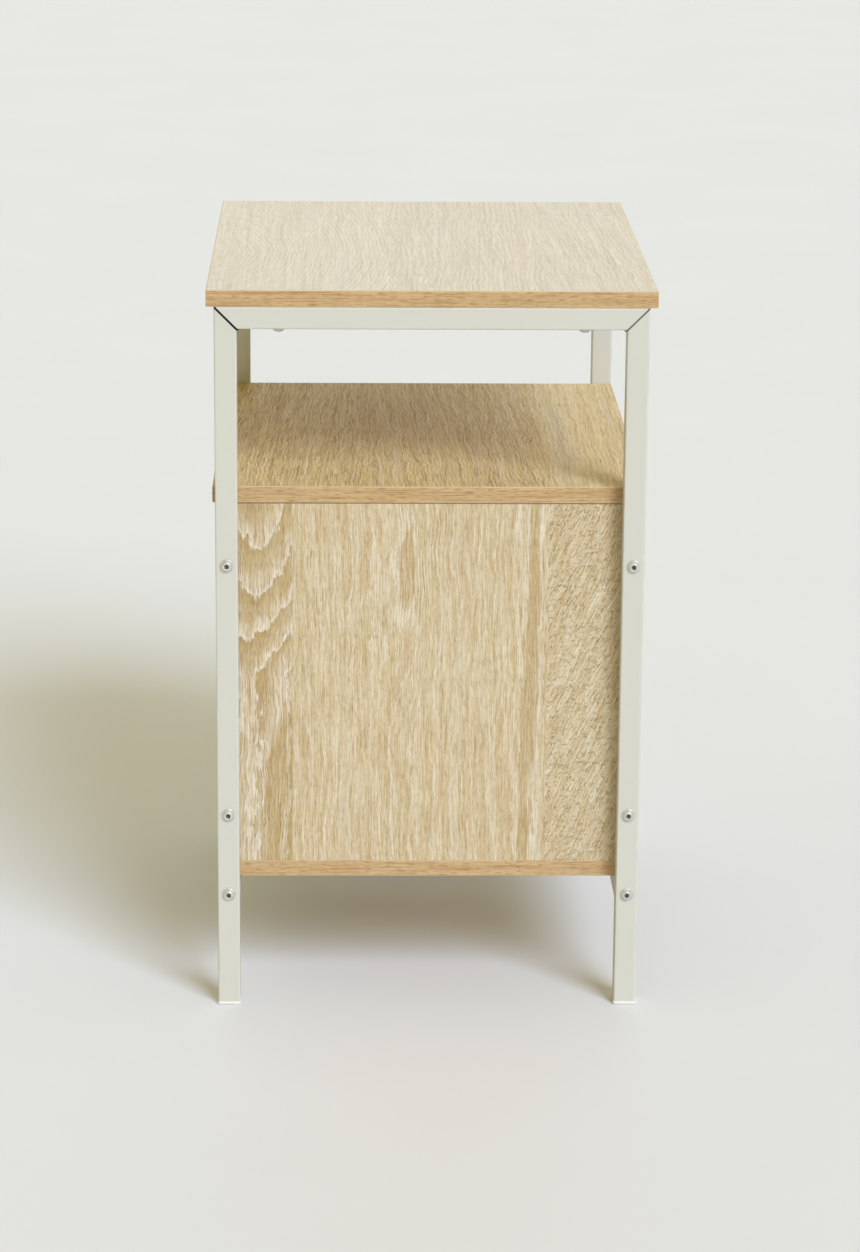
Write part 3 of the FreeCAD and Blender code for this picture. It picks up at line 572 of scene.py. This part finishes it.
# %% Plating
def plating(name, bright, tarnished, dull_low, dull_high, scratch_depth):
    """Plated metal: a cloudy tarnish, fine scratches along X, and grains of roughness."""
    place, finish = blank(name, Metallic=1.0, Roughness=0.35)
    cloud = mottle(place, 260, 3.0, 0.6)
    grain = mottle(place, 5200, 1.0)
    scratch = mottle(place, (900, 5200, 2100), 0.0).rise(0.66, 0.72)
    colour = tint(cloud.rise(0.3, 0.75), bright, tarnished)
    dull = dull_low + cloud * (dull_high - dull_low) + grain * 0.05 - scratch * 0.08
    return finish(colour, dull, relief(grain * 0.4 - scratch, scratch_depth))


zinc_steel = plating("zinc_plated_steel", paint(226, 226, 222), paint(196, 196, 190), 0.24, 0.42, 0.000006)
nut_steel = plating("nut_steel", paint(216, 210, 186), paint(176, 168, 140), 0.3, 0.5, 0.00001)
nickel = plating("magnet_nickel", paint(222, 220, 212), paint(198, 194, 184), 0.14, 0.26, 0.000004)
print("plated finishes: 3")

# %% [markdown]
# ## Turned heads
#
# A bolt head is turned on a lathe before it is plated, so it carries very fine rings round
# its middle.  The bolts made below have their own map: one direction runs round the bolt, the
# other along its outline, from the tip up and into the socket.  The rings are noise that is
# fast along the outline and slow round the bolt.

# %% Turned steel
socket_rim = 4.09  # where the socket starts on the map, in centimetres along the outline


def turned_steel(name):
    """Plated steel with lathe rings, on the piece's own map: u round the axis, v along the outline."""
    place, finish = blank(name, Metallic=0.6, Roughness=0.3)
    around = place.node("UVMap", {"uv_map": "turned"}, {})
    rings = mottle(around, (3, 90, 1), 2.0, 0.6)
    cloud = mottle(place, 300, 3.0, 0.6)
    socket = axes(around)[1].rise(socket_rim, socket_rim + 0.05)
    colour = tint(cloud.rise(0.3, 0.8), paint(218, 218, 213), paint(196, 195, 189))
    # The socket is darkened: partly oil, partly a painted shade in the recess.
    colour = tint(socket * 0.85, colour, paint(70, 68, 64))
    dull = 0.26 + cloud * 0.14 + rings * 0.08 + socket * 0.2
    return finish(colour, dull, relief(rings, 0.00001))


bolt_steel = turned_steel("bolt_steel")
print("bolt finish:", bolt_steel.name)

# %% [markdown]
# ## Spring wire and die-cast zinc
#
# Spring wire is pulled through a die, which leaves lines along it.  The cams are cast in a
# steel mould: a grey, even, slightly grainy skin with the odd darker patch.

# %% Spring and cast zinc
def cast_metal(name, pale, dark, cell, depth, low_dull):
    """Cast or drawn metal: patches of colour and a grainy skin with cells of this size."""
    place, finish = blank(name, Metallic=1.0, Roughness=0.45)
    skin = mottle(place, 1 / cell, 2.0, 0.6)
    patch = mottle(place, 120)
    colour = tint(patch.rise(0.35, 0.7) * 0.7 + skin * 0.3, pale, dark)
    return finish(colour, low_dull + skin * 0.16, relief(skin, depth))


cast_zinc = cast_metal("cast_zinc", paint(196, 196, 194), paint(158, 158, 156), 0.0005, 0.00003, 0.34)
spring_wire = cast_metal("spring_wire", paint(190, 190, 188), paint(140, 140, 140), 0.0003, 0.000005, 0.22)
print("cells of the cast skin: 0.5 mm")

# %% [markdown]
# ## Moulded plastics
#
# The foot caps, the pivot bushes and the latch are moulded.  The mould is spark eroded, which
# leaves a fine even grain, and nylon is milky and a little uneven in tone.  The foot caps
# pick up dust and rub marks in their lowest millimetre.

# %% Plastics
def moulded(name, pale, shade, dull, grain_depth, rubbed):
    """Moulded plastic: a milky change of tone, a fine spark grain, and a rubbed lowest edge."""
    place, finish = blank(name, Roughness=dull, Specular_IOR_Level=0.45, Subsurface_Weight=0.08,
                          Subsurface_Radius=(0.002, 0.0018, 0.0015))
    milk = mottle(place, 90)
    spark = mottle(place, 3200, 2.0, 0.6)
    lowest = 1 - axes(place)[ALONG_Z].rise(0.0004, 0.0016)
    floor_rub = lowest * mottle(place, 400).rise(0.3, 0.7) * rubbed
    colour = tint(milk * 0.8 + spark * 0.2, pale, shade)
    colour = tint(floor_rub, colour, paint(150, 144, 132))
    rough = dull - 0.06 + milk * 0.06 + spark * 0.08 + floor_rub * 0.2
    return finish(colour, rough, relief(spark, grain_depth))


foot_plastic = moulded("foot_plastic", paint(233, 231, 223), paint(222, 219, 208), 0.48, 0.00001, 0.5)
bush_nylon = moulded("bush_nylon", paint(240, 240, 234), paint(228, 228, 220), 0.4, 0.000006, 0.0)
latch_plastic = moulded("latch_plastic", paint(236, 235, 230), paint(226, 225, 219), 0.5, 0.000016, 0.0)
print("plastics: 3")

# %% [markdown]
# ## Hardboard and beech
#
# The back is thin hardboard: pressed brown fibre, printed pale on the face that looks into
# the cabinet and raw behind.  The dowels are beech with short dark flecks along them.

# %% Back and dowels
def hardboard(name, seed):
    """Pressed fibre; the print covers what lies in front of the sheet's middle."""
    place, finish = blank(name, Roughness=0.6, Specular_IOR_Level=0.35)
    x, y, z = axes(place)
    fluff = mottle(place, 700, 4.0, 0.7)
    matt = mottle(place, 1700, 1.0).rise(0.55, 0.75)
    grain = place.node("CombineXYZ", {}, {0: x, 1: z + seed, 2: seed})
    streak = mottle(grain, (130, 3, 1), 3.0, 0.6)
    fibre = mottle(grain, (900, 15, 1), 2.0, 0.65)
    raw = (y - middle_of("back_panel").y).rise(-0.0002, 0.0002)
    tone = (streak - 0.5) * 0.8 + (fibre - 0.5) * 2.2 + 0.55
    printed = tone.node("ValToRGB", {"stops": oak_shades}, {0: tone})
    pressed = tint(fluff * 0.8 + matt * 0.3, paint(172, 140, 104), paint(124, 94, 64))
    dull = 0.42 + fibre * 0.1 + raw * 0.25
    height = fibre * 0.2 + raw * fluff * 0.8
    return finish(tint(raw, printed, pressed), dull, relief(height, 0.00015))


def beech(name):
    """Beech: pale pinkish wood with short flecks along Z."""
    place, finish = blank(name, Roughness=0.55)
    fibre = mottle(place, (900, 900, 30), 3.0, 0.6)
    fleck = mottle(place, (1400, 1400, 160), 1.0).rise(0.62, 0.74)
    colour = tint(fibre, paint(226, 190, 146), paint(205, 164, 118))
    colour = tint(fleck * 0.6, colour, paint(160, 112, 72))
    return finish(colour, 0.5 + fibre * 0.15, relief(fibre - fleck * 0.4, 0.00005))


back_board = hardboard("hardboard_back", 7.7)
dowel_beech = beech("dowel_beech")
print("boards and dowels done")

# %% [markdown]
# ## Surfaces from sheets of points
#
# A bolt, a bead, a foot cap and a spring are each a closed skin.  Think of a sheet of paper
# rolled into a tube: its columns go round and its rows go along.  The first and the last row
# are each closed by a fan to one point, the pole.  All the points are worked out at once as
# one array, and the mesh is only told how neighbours join.  If the signed volume comes out
# negative, the skin is inside out and its faces are turned.

# %% Rolled sheets
def with_poles(sheet):
    """A sheet's points in one list, and after them the middles of its first and its last row."""
    return np.concatenate([sheet.reshape(-1, sheet.shape[-1]), sheet[[0, -1]].mean(axis=1)])


def rolled(name, sheets, material, maps=None, crease=30):
    """One object from closed rolled sheets, each an array of rows, columns and x, y, z."""
    points, polygons = [], []
    count = 0
    for sheet in sheets:
        rows, columns = sheet.shape[:2]
        index = count + np.arange(rows * columns).reshape(rows, columns)
        ahead = np.roll(index, -1, axis=1)
        quads = np.stack([index[:-1], ahead[:-1], ahead[1:], index[1:]], axis=-1).reshape(-1, 4)
        pole = np.full(columns, count + rows * columns)
        fans = np.concatenate([np.stack([pole, ahead[0], index[0]], axis=-1),
                               np.stack([pole + 1, index[-1], ahead[-1]], axis=-1)])
        flat = with_poles(sheet)
        triangles = np.concatenate([quads[:, [0, 1, 2]], quads[:, [0, 2, 3]], fans]) - count
        a, b, c = flat[triangles].swapaxes(0, 1)
        if np.einsum("ij,ij->i", a, np.cross(b, c)).sum() < 0:
            quads, fans = quads[:, ::-1], fans[:, ::-1]
        points.append(flat)
        polygons += quads.tolist() + fans.tolist()
        count += len(flat)
    mesh = bpy.data.meshes.new(name)
    mesh.from_pydata(np.concatenate(points), [], polygons)
    mesh.polygons.foreach_set("use_smooth", np.ones(len(mesh.polygons), dtype=bool))
    mesh.set_sharp_from_angle(angle=math.radians(crease))
    if maps is not None:
        corners = np.zeros(len(mesh.loops), dtype=np.int32)
        mesh.loops.foreach_get("vertex_index", corners)
        by_point = np.concatenate([with_poles(maps)] * len(sheets))
        layer = mesh.uv_layers.new(name="turned")
        layer.data.foreach_set("uv", by_point[corners].astype(np.float32).ravel())
    piece = bpy.data.objects.new(name, mesh)
    scene.collection.objects.link(piece)
    mesh.materials.append(material)
    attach(piece, "table")
    print(name, "has", len(mesh.polygons), "faces in", len(sheets), "skins")
    return piece


# %% [markdown]
# ## The bolt
#
# A furniture bolt has a low dome with a thin flange round its foot, so that it can't pull
# through the tube's hole, and a six-sided socket.  Its outline is turned round the axis, but
# the socket isn't round: its radius at an angle is the distance to a straight side, which is
# half the key's size over the cosine of the angle from that side's middle.  One sheet holds
# both: each row says how round or how six-sided it is.

# %% One bolt as a sheet
bolt_outline = np.array([
    # radius, height over the seat, share of six-sidedness (all in millimetres but the last)
    (0.4, -30.0, 0), (2.1, -30.0, 0), (2.9, -29.1, 0), (3.0, -28.0, 0), (3.0, -0.02, 0), (3.2, 0.0, 0),
    (6.05, 0.0, 0), (6.24, 0.05, 0), (6.3, 0.2, 0), (6.28, 0.36, 0), (6.16, 0.5, 0), (5.85, 0.68, 0),
    (5.5, 0.86, 0), (5.36, 1.0, 0), (5.25, 1.25, 0), (5.02, 1.7, 0), (4.7, 2.15, 0), (4.3, 2.58, 0),
    (3.9, 2.9, 0), (3.5, 3.14, 0), (3.15, 3.29, 0), (2.85, 3.37, 0), (2.65, 3.4, 0), (2.5, 3.37, 0.2),
    (2.36, 3.26, 0.6), (2.24, 3.12, 1), (2.24, 2.9, 1), (2.22, 1.45, 1), (2.16, 1.36, 1), (1.9, 1.3, 0.8),
    (1.3, 1.02, 0.3), (0.5, 0.62, 0),
])
bolt_columns, key_play = 60, 1.02


def bolt_sheet(turn):
    """A bolt with its head up, its seat at zero: radius and height by outline, sides by angle."""
    angle = np.linspace(0, 2 * np.pi, bolt_columns, endpoint=False)
    radius, height, six = (bolt_outline / (1000, 1000, 1)).T[:, :, None]
    side = (angle - turn) % (np.pi / 3) - np.pi / 6
    flat = np.cos(np.pi / 6) / np.cos(side)
    reach = radius * (1 - six + six * flat * key_play)
    return np.stack([reach * np.cos(angle), reach * np.sin(angle), height + 0 * angle], axis=-1)


step = np.hypot(*np.diff(bolt_outline[:, :2], axis=0).T)
travelled = np.concatenate([[0], np.cumsum(step)])[:, None] / 10
turned_map = np.stack(np.broadcast_arrays(np.linspace(0, 1, bolt_columns)[None], travelled), axis=-1)
print("points on one bolt:", len(bolt_outline) * bolt_columns)

# %% [markdown]
# ## The bolts in their places
#
# The solids already say where each bolt sits: a node's box, less the head's radius, gives the
# axes of its bolts.  So no place is typed twice.  Nobody lines up the sockets when a table is
# put together, so each bolt stops at its own angle, drawn from a seeded generator.

# %% Placing the bolts
chance = np.random.default_rng(4711)
head_radius, head_height = 0.0063, 0.0034


def bolts_along_x(node):
    """Turns and seats of bolts whose heads face outwards along X at both ends of the table."""
    low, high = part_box(node)
    heights = sorted({round(low.z + head_radius, 5), round(high.z - head_radius, 5)})
    return [([(0, 1, 0), (0, 0, end), (end, 0, 0)],
             (end * (high.x - head_height), side * (high.y - head_radius), height))
            for end in (-1, 1) for side in (-1, 1) for height in heights]


def place_bolts(name, node, places):
    """One piece of bolts: each stands at a drawn angle, is turned by a matrix and set on its seat."""
    sheets = [bolt_sheet(chance.uniform(0, 1)) @ turned + seat for turned, seat in places]
    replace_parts(rolled(name, sheets, bolt_steel, maps=turned_map), node)


place_bolts("bolts_in_side_panels", "side_panel_bolts", bolts_along_x("side_panel_bolts"))
place_bolts("bolts_in_lower_rails", "lower_rail_bolts", bolts_along_x("lower_rail_bolts"))
low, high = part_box("tabletop_bolts")
upside_down = np.diag([1, -1, -1])
place_bolts("bolts_in_tabletop", "tabletop_bolts", [
    (upside_down, (x * (high.x - head_radius), y * (high.y - head_radius), low.z + head_height))
    for x in (-1, 1) for y in (-1, 1)])

# %% [markdown]
# ## The weld beads
#
# Each frame's corners are welded on the inside, where the leg meets the rail.  A bead is laid
# in overlapping drops, so it has a crescent ripple every millimetre and a half, and it starts
# and ends round.  Its section is a quarter of a circle in the corner; its radius changes with
# the place along the bead, by the ripple, and falls to nothing at both ends.

# %% Weld beads
bead_length, bead_radius, bead_rows, bead_columns = 0.014, 0.0023, 72, 13
ripple_pitch, ripple_height = 0.0015, 0.00016


def bead_sheet(low, high, side, seed):
    """A fillet along X in the corner under the rail: a radius that ripples along the bead."""
    drift = np.random.default_rng(seed)
    share = np.linspace(0, 1, bead_rows)[:, None]
    sweep = np.linspace(0, np.pi / 2, bead_columns)[None]
    travel = share * (high.x - low.x)
    bow = 0.9 * ((sweep - np.pi / 4) / (np.pi / 4)) ** 2
    crescent = travel / ripple_pitch + bow + drift.uniform(0, 1)
    ripple = ripple_height * (1 - (crescent % 1.0)) ** 1.5
    long_wave = 0.00012 * np.sin(travel / 0.0031 + drift.uniform(0, 6))
    short_wave = 0.0001 * np.sin(travel / 0.0013 + drift.uniform(0, 6))
    ends = np.clip(1 - np.abs(2 * share - 1) ** 7, 0, 1) ** 0.5
    belly = bead_radius + 0.0003 * np.sin(2 * sweep)
    radius = (belly + ripple + long_wave + short_wave) * ends
    reach = np.concatenate([radius * np.cos(sweep), 0 * share], axis=1)
    drop = np.concatenate([radius * np.sin(sweep), 0 * share], axis=1)
    corner_y = high.y if side > 0 else low.y
    return np.stack([low.x + travel + 0 * reach, corner_y - side * reach, high.z - drop], axis=-1)


beads = []
low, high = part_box("frame_weld_beads")
for end in (-1, 1):
    for side in (-1, 1):
        bead_low, bead_high = low.copy(), high.copy()
        bead_low.x, bead_high.x = sorted((end * high.x, end * (high.x - bead_length)))
        beads.append(bead_sheet(bead_low, bead_high, side, 10 + 2 * end + side))
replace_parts(rolled("rippled_weld_beads", beads, coat_upright, crease=50), "frame_weld_beads")

# %% [markdown]
# ## The foot caps
#
# A tube's end is closed with a moulded cap: a pad that stands a little past the tube, with
# soft edges, and a plug with ribs that grip the wall.  Every level of it is a square with
# round corners, so one loop of points is carried up a profile of half widths and heights.

# %% Foot caps
def square_loop(half, corner, height, steps=7):
    """A square with round corners: each corner's circle middle plus its radius at the angle."""
    quarter = np.linspace(0, np.pi / 2, steps)
    angle = (quarter[None] + np.arange(4)[:, None] * np.pi / 2).ravel()
    middle_x = np.repeat([1, -1, -1, 1], steps) * (half - corner)
    middle_y = np.repeat([1, 1, -1, -1], steps) * (half - corner)
    return np.stack([middle_x + corner * np.cos(angle), middle_y + corner * np.sin(angle),
                     height + 0 * angle], axis=-1)


cap_low, cap_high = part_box("right_rear_foot_cap")
cap_half = (cap_high.x - cap_low.x) / 2
plug_half, rib_half, pole_half, corner_radius = 0.0077, 0.0084, 0.0002, 0.0023
pad_insets = ((0.0011, 0), (0.0005, 0.0001), (0.00016, 0.0004), (0, 0.0009), (0, 0.0022),
              (0.0001, 0.0026), (0.0003, 0.00285), (0.0006, 0.003))
pad_profile = [(pole_half, 0), *((cap_half - inset, height) for inset, height in pad_insets)]
rib = ((plug_half, 0), (rib_half, 0.0004), (rib_half, 0.0011), (plug_half, 0.0015))
rib_profile = [(half, 0.0045 + 0.004 * count + rise) for count in range(3) for half, rise in rib]
tip_profile = [(plug_half, 0.0158), (0.0072, 0.0168), (0.0064, 0.017), (pole_half, 0.017)]
cap_profile = [*pad_profile, (plug_half, 0.003), *rib_profile, *tip_profile]


def cap_sheet(middle):
    """The loop at every level of the profile; narrow levels get smaller corners."""
    levels = [square_loop(half, min(corner_radius, half * 0.6), height) for half, height in cap_profile]
    return np.stack(levels) + (middle.x, middle.y, 0)


table_corners = [f"{side}_{end}" for side in ("left", "right") for end in ("front", "rear")]
for corner in table_corners:
    cap_middle = middle_of(f"{corner}_foot_cap")
    cap = rolled(f"{corner}_cap", [cap_sheet(cap_middle)], foot_plastic)
    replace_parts(cap, f"{corner}_foot_cap")

# %% [markdown]
# ## The latch's spring
#
# Behind the latch's plunger sits a coil spring. Its wire follows a helix: one angle turns it
# round, and its place along the bore grows with that angle, slowly in the first and the last
# turn, so that the ends lie flat. The wire's section is a circle set across the way it runs.

# %% Coil spring
wire_radius, spring_turns, latch_travel = 0.0003, 8, 0.003
steps_in_turn, wire_sides = 28, 12


def coil_sheet(low, high):
    """A tube round a helix along Y: centre line by angle, then a circle in each cross plane."""
    turned = np.linspace(0, spring_turns, steps_in_turn * spring_turns + 1)
    pace = 0.25 + np.clip(np.minimum(turned, spring_turns - turned) - 0.7, 0, 0.6)
    covered = np.cumsum(pace) - pace[0]
    angle = 2 * np.pi * turned
    coil_radius = (high.x - low.x) / 2 - wire_radius
    outwards = np.stack([np.cos(angle), 0 * angle, np.sin(angle)], axis=-1)
    line = np.array((low + high) / 2) + coil_radius * outwards
    line[:, 1] = low.y + wire_radius + covered / covered[-1] * (high.y - low.y - 2 * wire_radius)
    heading = np.gradient(line, axis=0)
    heading /= np.linalg.norm(heading, axis=1)[:, None]
    sideways = np.cross(heading, outwards)[:, None]
    sweep = np.linspace(0, 2 * np.pi, wire_sides, endpoint=False)[None, :, None]
    return line[:, None] + wire_radius * (np.cos(sweep) * outwards[:, None] + np.sin(sweep) * sideways)


low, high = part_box("push_latch_spring")
coil = rolled("latch_spring_coil", [coil_sheet(low, high)], spring_wire, crease=60)
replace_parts(coil, "push_latch_spring")
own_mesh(coil)
print("spring:", round((high.y - low.y) * 1000, 2), "mm long at rest")

# %% [markdown]
# ## Every solid gets its finish
#
# Most solids keep their shape and only take a finish.  A table pairs each finish with the
# solids that wear it, and the last line checks that none was forgotten.

# %% Finishes on the solids
wardrobe = {
    coat_upright: [f"{corner}_leg" for corner in table_corners] + ["frame_weld_beads"],
    coat_across: ["left_top_rail", "right_top_rail"],
    coat_along: ["front_lower_rail", "rear_lower_rail"],
    oak_top: ["tabletop"],
    oak_shelf: ["shelf"],
    oak_bottom: ["bottom_board"],
    oak_right: ["right_side_panel"],
    oak_left: ["left_side_panel"],
    oak_door: ["door_panel"],
    band_flat: flat_bands,
    band_side: ["left_side_panel_edge_bands", "right_side_panel_edge_bands"],
    band_door: ["door_edge_bands"],
    back_board: ["back_panel"],
    dowel_beech: ["wood_dowels"],
    bush_nylon: ["door_pivot_bushes"],
    latch_plastic: ["push_latch_body", "push_latch_plunger"],
    nickel: ["push_latch_magnet"],
    spring_wire: ["push_latch_spring"],
    cast_zinc: ["cam_discs"],
    nut_steel: ["tabletop_insert_nuts", "side_panel_insert_nuts", "lower_rail_end_nuts"],
    bolt_steel: ["side_panel_bolts", "lower_rail_bolts", "tabletop_bolts"],
    zinc_steel: ["cam_bolts", "door_pivot_pins", "push_latch_screws", "strike_plate", "strike_plate_screw"],
    foot_plastic: [f"{corner}_foot_cap" for corner in table_corners],
}
for material, nodes in wardrobe.items():
    for node in nodes:
        for worn in solid[node].material_slots:
            worn.material = material
print("solids without a finish:", sorted(set(solid).difference(*wardrobe.values())))

# %% [markdown]
# ## Floor
#
# The table stands on a plain pale floor, large enough to fill the view from every side.  It
# is part of the stage and not of the table.  A faint cloudiness keeps it from looking like
# paper.

# %% Floor
floor_reach = 30.0
floor_mesh = bpy.data.meshes.new("floor")
floor_corners = [(x * floor_reach, y * floor_reach, 0) for x, y in ((-1, -1), (1, -1), (1, 1), (-1, 1))]
floor_mesh.from_pydata(floor_corners, [], [(0, 1, 2, 3)])
floor = bpy.data.objects.new("floor", floor_mesh)
scene.collection.objects.link(floor)
place, finish = blank("floor_paint", Roughness=0.65, Specular_IOR_Level=0.35)
cloud = mottle(place, 3, 3.0)
floor_mesh.materials.append(finish(tint(cloud, paint(222, 223, 221), paint(227, 228, 227))))
print("floor:", 2 * floor_reach, "m wide")

# %% [markdown]
# ## Light
#
# A soft studio.  A warm pale world fills the shade, and low behind the table it is warmer
# still, as in a room with wooden things in it.  Higher up there it is bright, as a white board
# would be, and that shows as a sheen on the tabletop.  A window, high at the camera's right,
# gives the shape: a sun lamp with a wide angle is as bright on the far floor as near the
# table, and its shadows are soft.  Window light is a little cool, so the shade looks warm
# beside it.  Gloss mirrors no lamp, which would burn out the tabletop from some sides, but a
# dimmer window in the same place.  Where the camera itself sees past the floor, it sees the
# floor's own pale grey.  Colours are shown as they are, with no film curve.

# %% Light
scene.view_settings.view_transform = "Standard"
world = bpy.data.worlds.new("studio")
world.use_nodes = True
scene.world = world
toward = axes(Wire(world.node_tree.nodes.new("ShaderNodeTexCoord").outputs["Generated"]))
window_place = np.array([3.0, 1.6, 2.43])
window_way = window_place / np.linalg.norm(window_place)
toward_x, toward_z = toward[ALONG_X], toward[ALONG_Z]
low_beyond = (1 - toward_z.rise(0.0, 0.55)) * (1 - toward_x.rise(0.1, 0.7))
board = (toward_x * -1).rise(0.6, 0.95) * toward_z.rise(0.15, 0.3) * (1 - toward_z.rise(0.5, 0.8))
window = sum(wire * part for wire, part in zip(toward, window_way)).rise(0.93, 0.98)
camera_ray = toward_z.node("LightPath", {}, {}, "Is Camera Ray")
glossy_ray = toward_z.node("LightPath", {}, {}, "Is Glossy Ray")
room_glow, warm_glow = (0.56, 0.50, 0.31, 1.0), (0.8, 0.55, 0.17, 1.0)
board_glow, window_glow = (1.5, 1.8, 2.05, 1.0), (3.5, 3.6, 3.8, 1.0)
glow = layered(room_glow, (low_beyond, warm_glow), (board, board_glow),
               (window * glossy_ray, window_glow), (camera_ray, paint(230, 231, 226)))
world.node_tree.links.new(glow.socket, world.node_tree.nodes["Background"].inputs["Color"])

sun = bpy.data.lights.new("window", "SUN")
sun.energy, sun.angle, sun.color = 2.46, math.radians(28), (0.93, 1.04, 1.36)
lamp = bpy.data.objects.new("window", sun)
scene.collection.objects.link(lamp)
lamp.location = window_place
lamp.visible_glossy = False
x, y, z = window_place
lamp.rotation_euler = (math.atan2(math.hypot(x, y), z), 0, math.atan2(x, -y))
print("lights:", [item.name for item in bpy.data.lights])

# %% [markdown]
# ## Camera
#
# The camera stands 3.6 m to the right of the table's middle, a little to its front and 1.28 m
# up, and looks down by some 15 degrees.  It is rolled by less than half a degree.  The lens is
# long, so that upright lines stay almost parallel.

# %% Camera
lens = bpy.data.cameras.new("camera")
lens.sensor_width, lens.lens = 36.0, 110.9
lens.clip_start, lens.clip_end = 0.1, 100.0
camera = bpy.data.objects.new("camera", lens)
scene.collection.objects.link(camera)
stand = np.array([3.60665, -0.07595, 1.28104])
aim = np.array([0.0, 0.00576, 0.29543])
away = (stand - aim) / np.linalg.norm(stand - aim)
level = np.cross([0, 0, 1], away)
level /= np.linalg.norm(level)
upright = np.cross(away, level)
roll = math.radians(0.439)
right = level * math.cos(roll) + upright * math.sin(roll)
up = np.cross(away, right)
turn = Matrix(np.column_stack([right, up, away]).tolist()).to_4x4()
camera.matrix_world = Matrix.Translation(stand) @ turn
scene.camera = camera
print("camera looks down by", round(math.degrees(math.asin(away[2])), 2), "degrees")
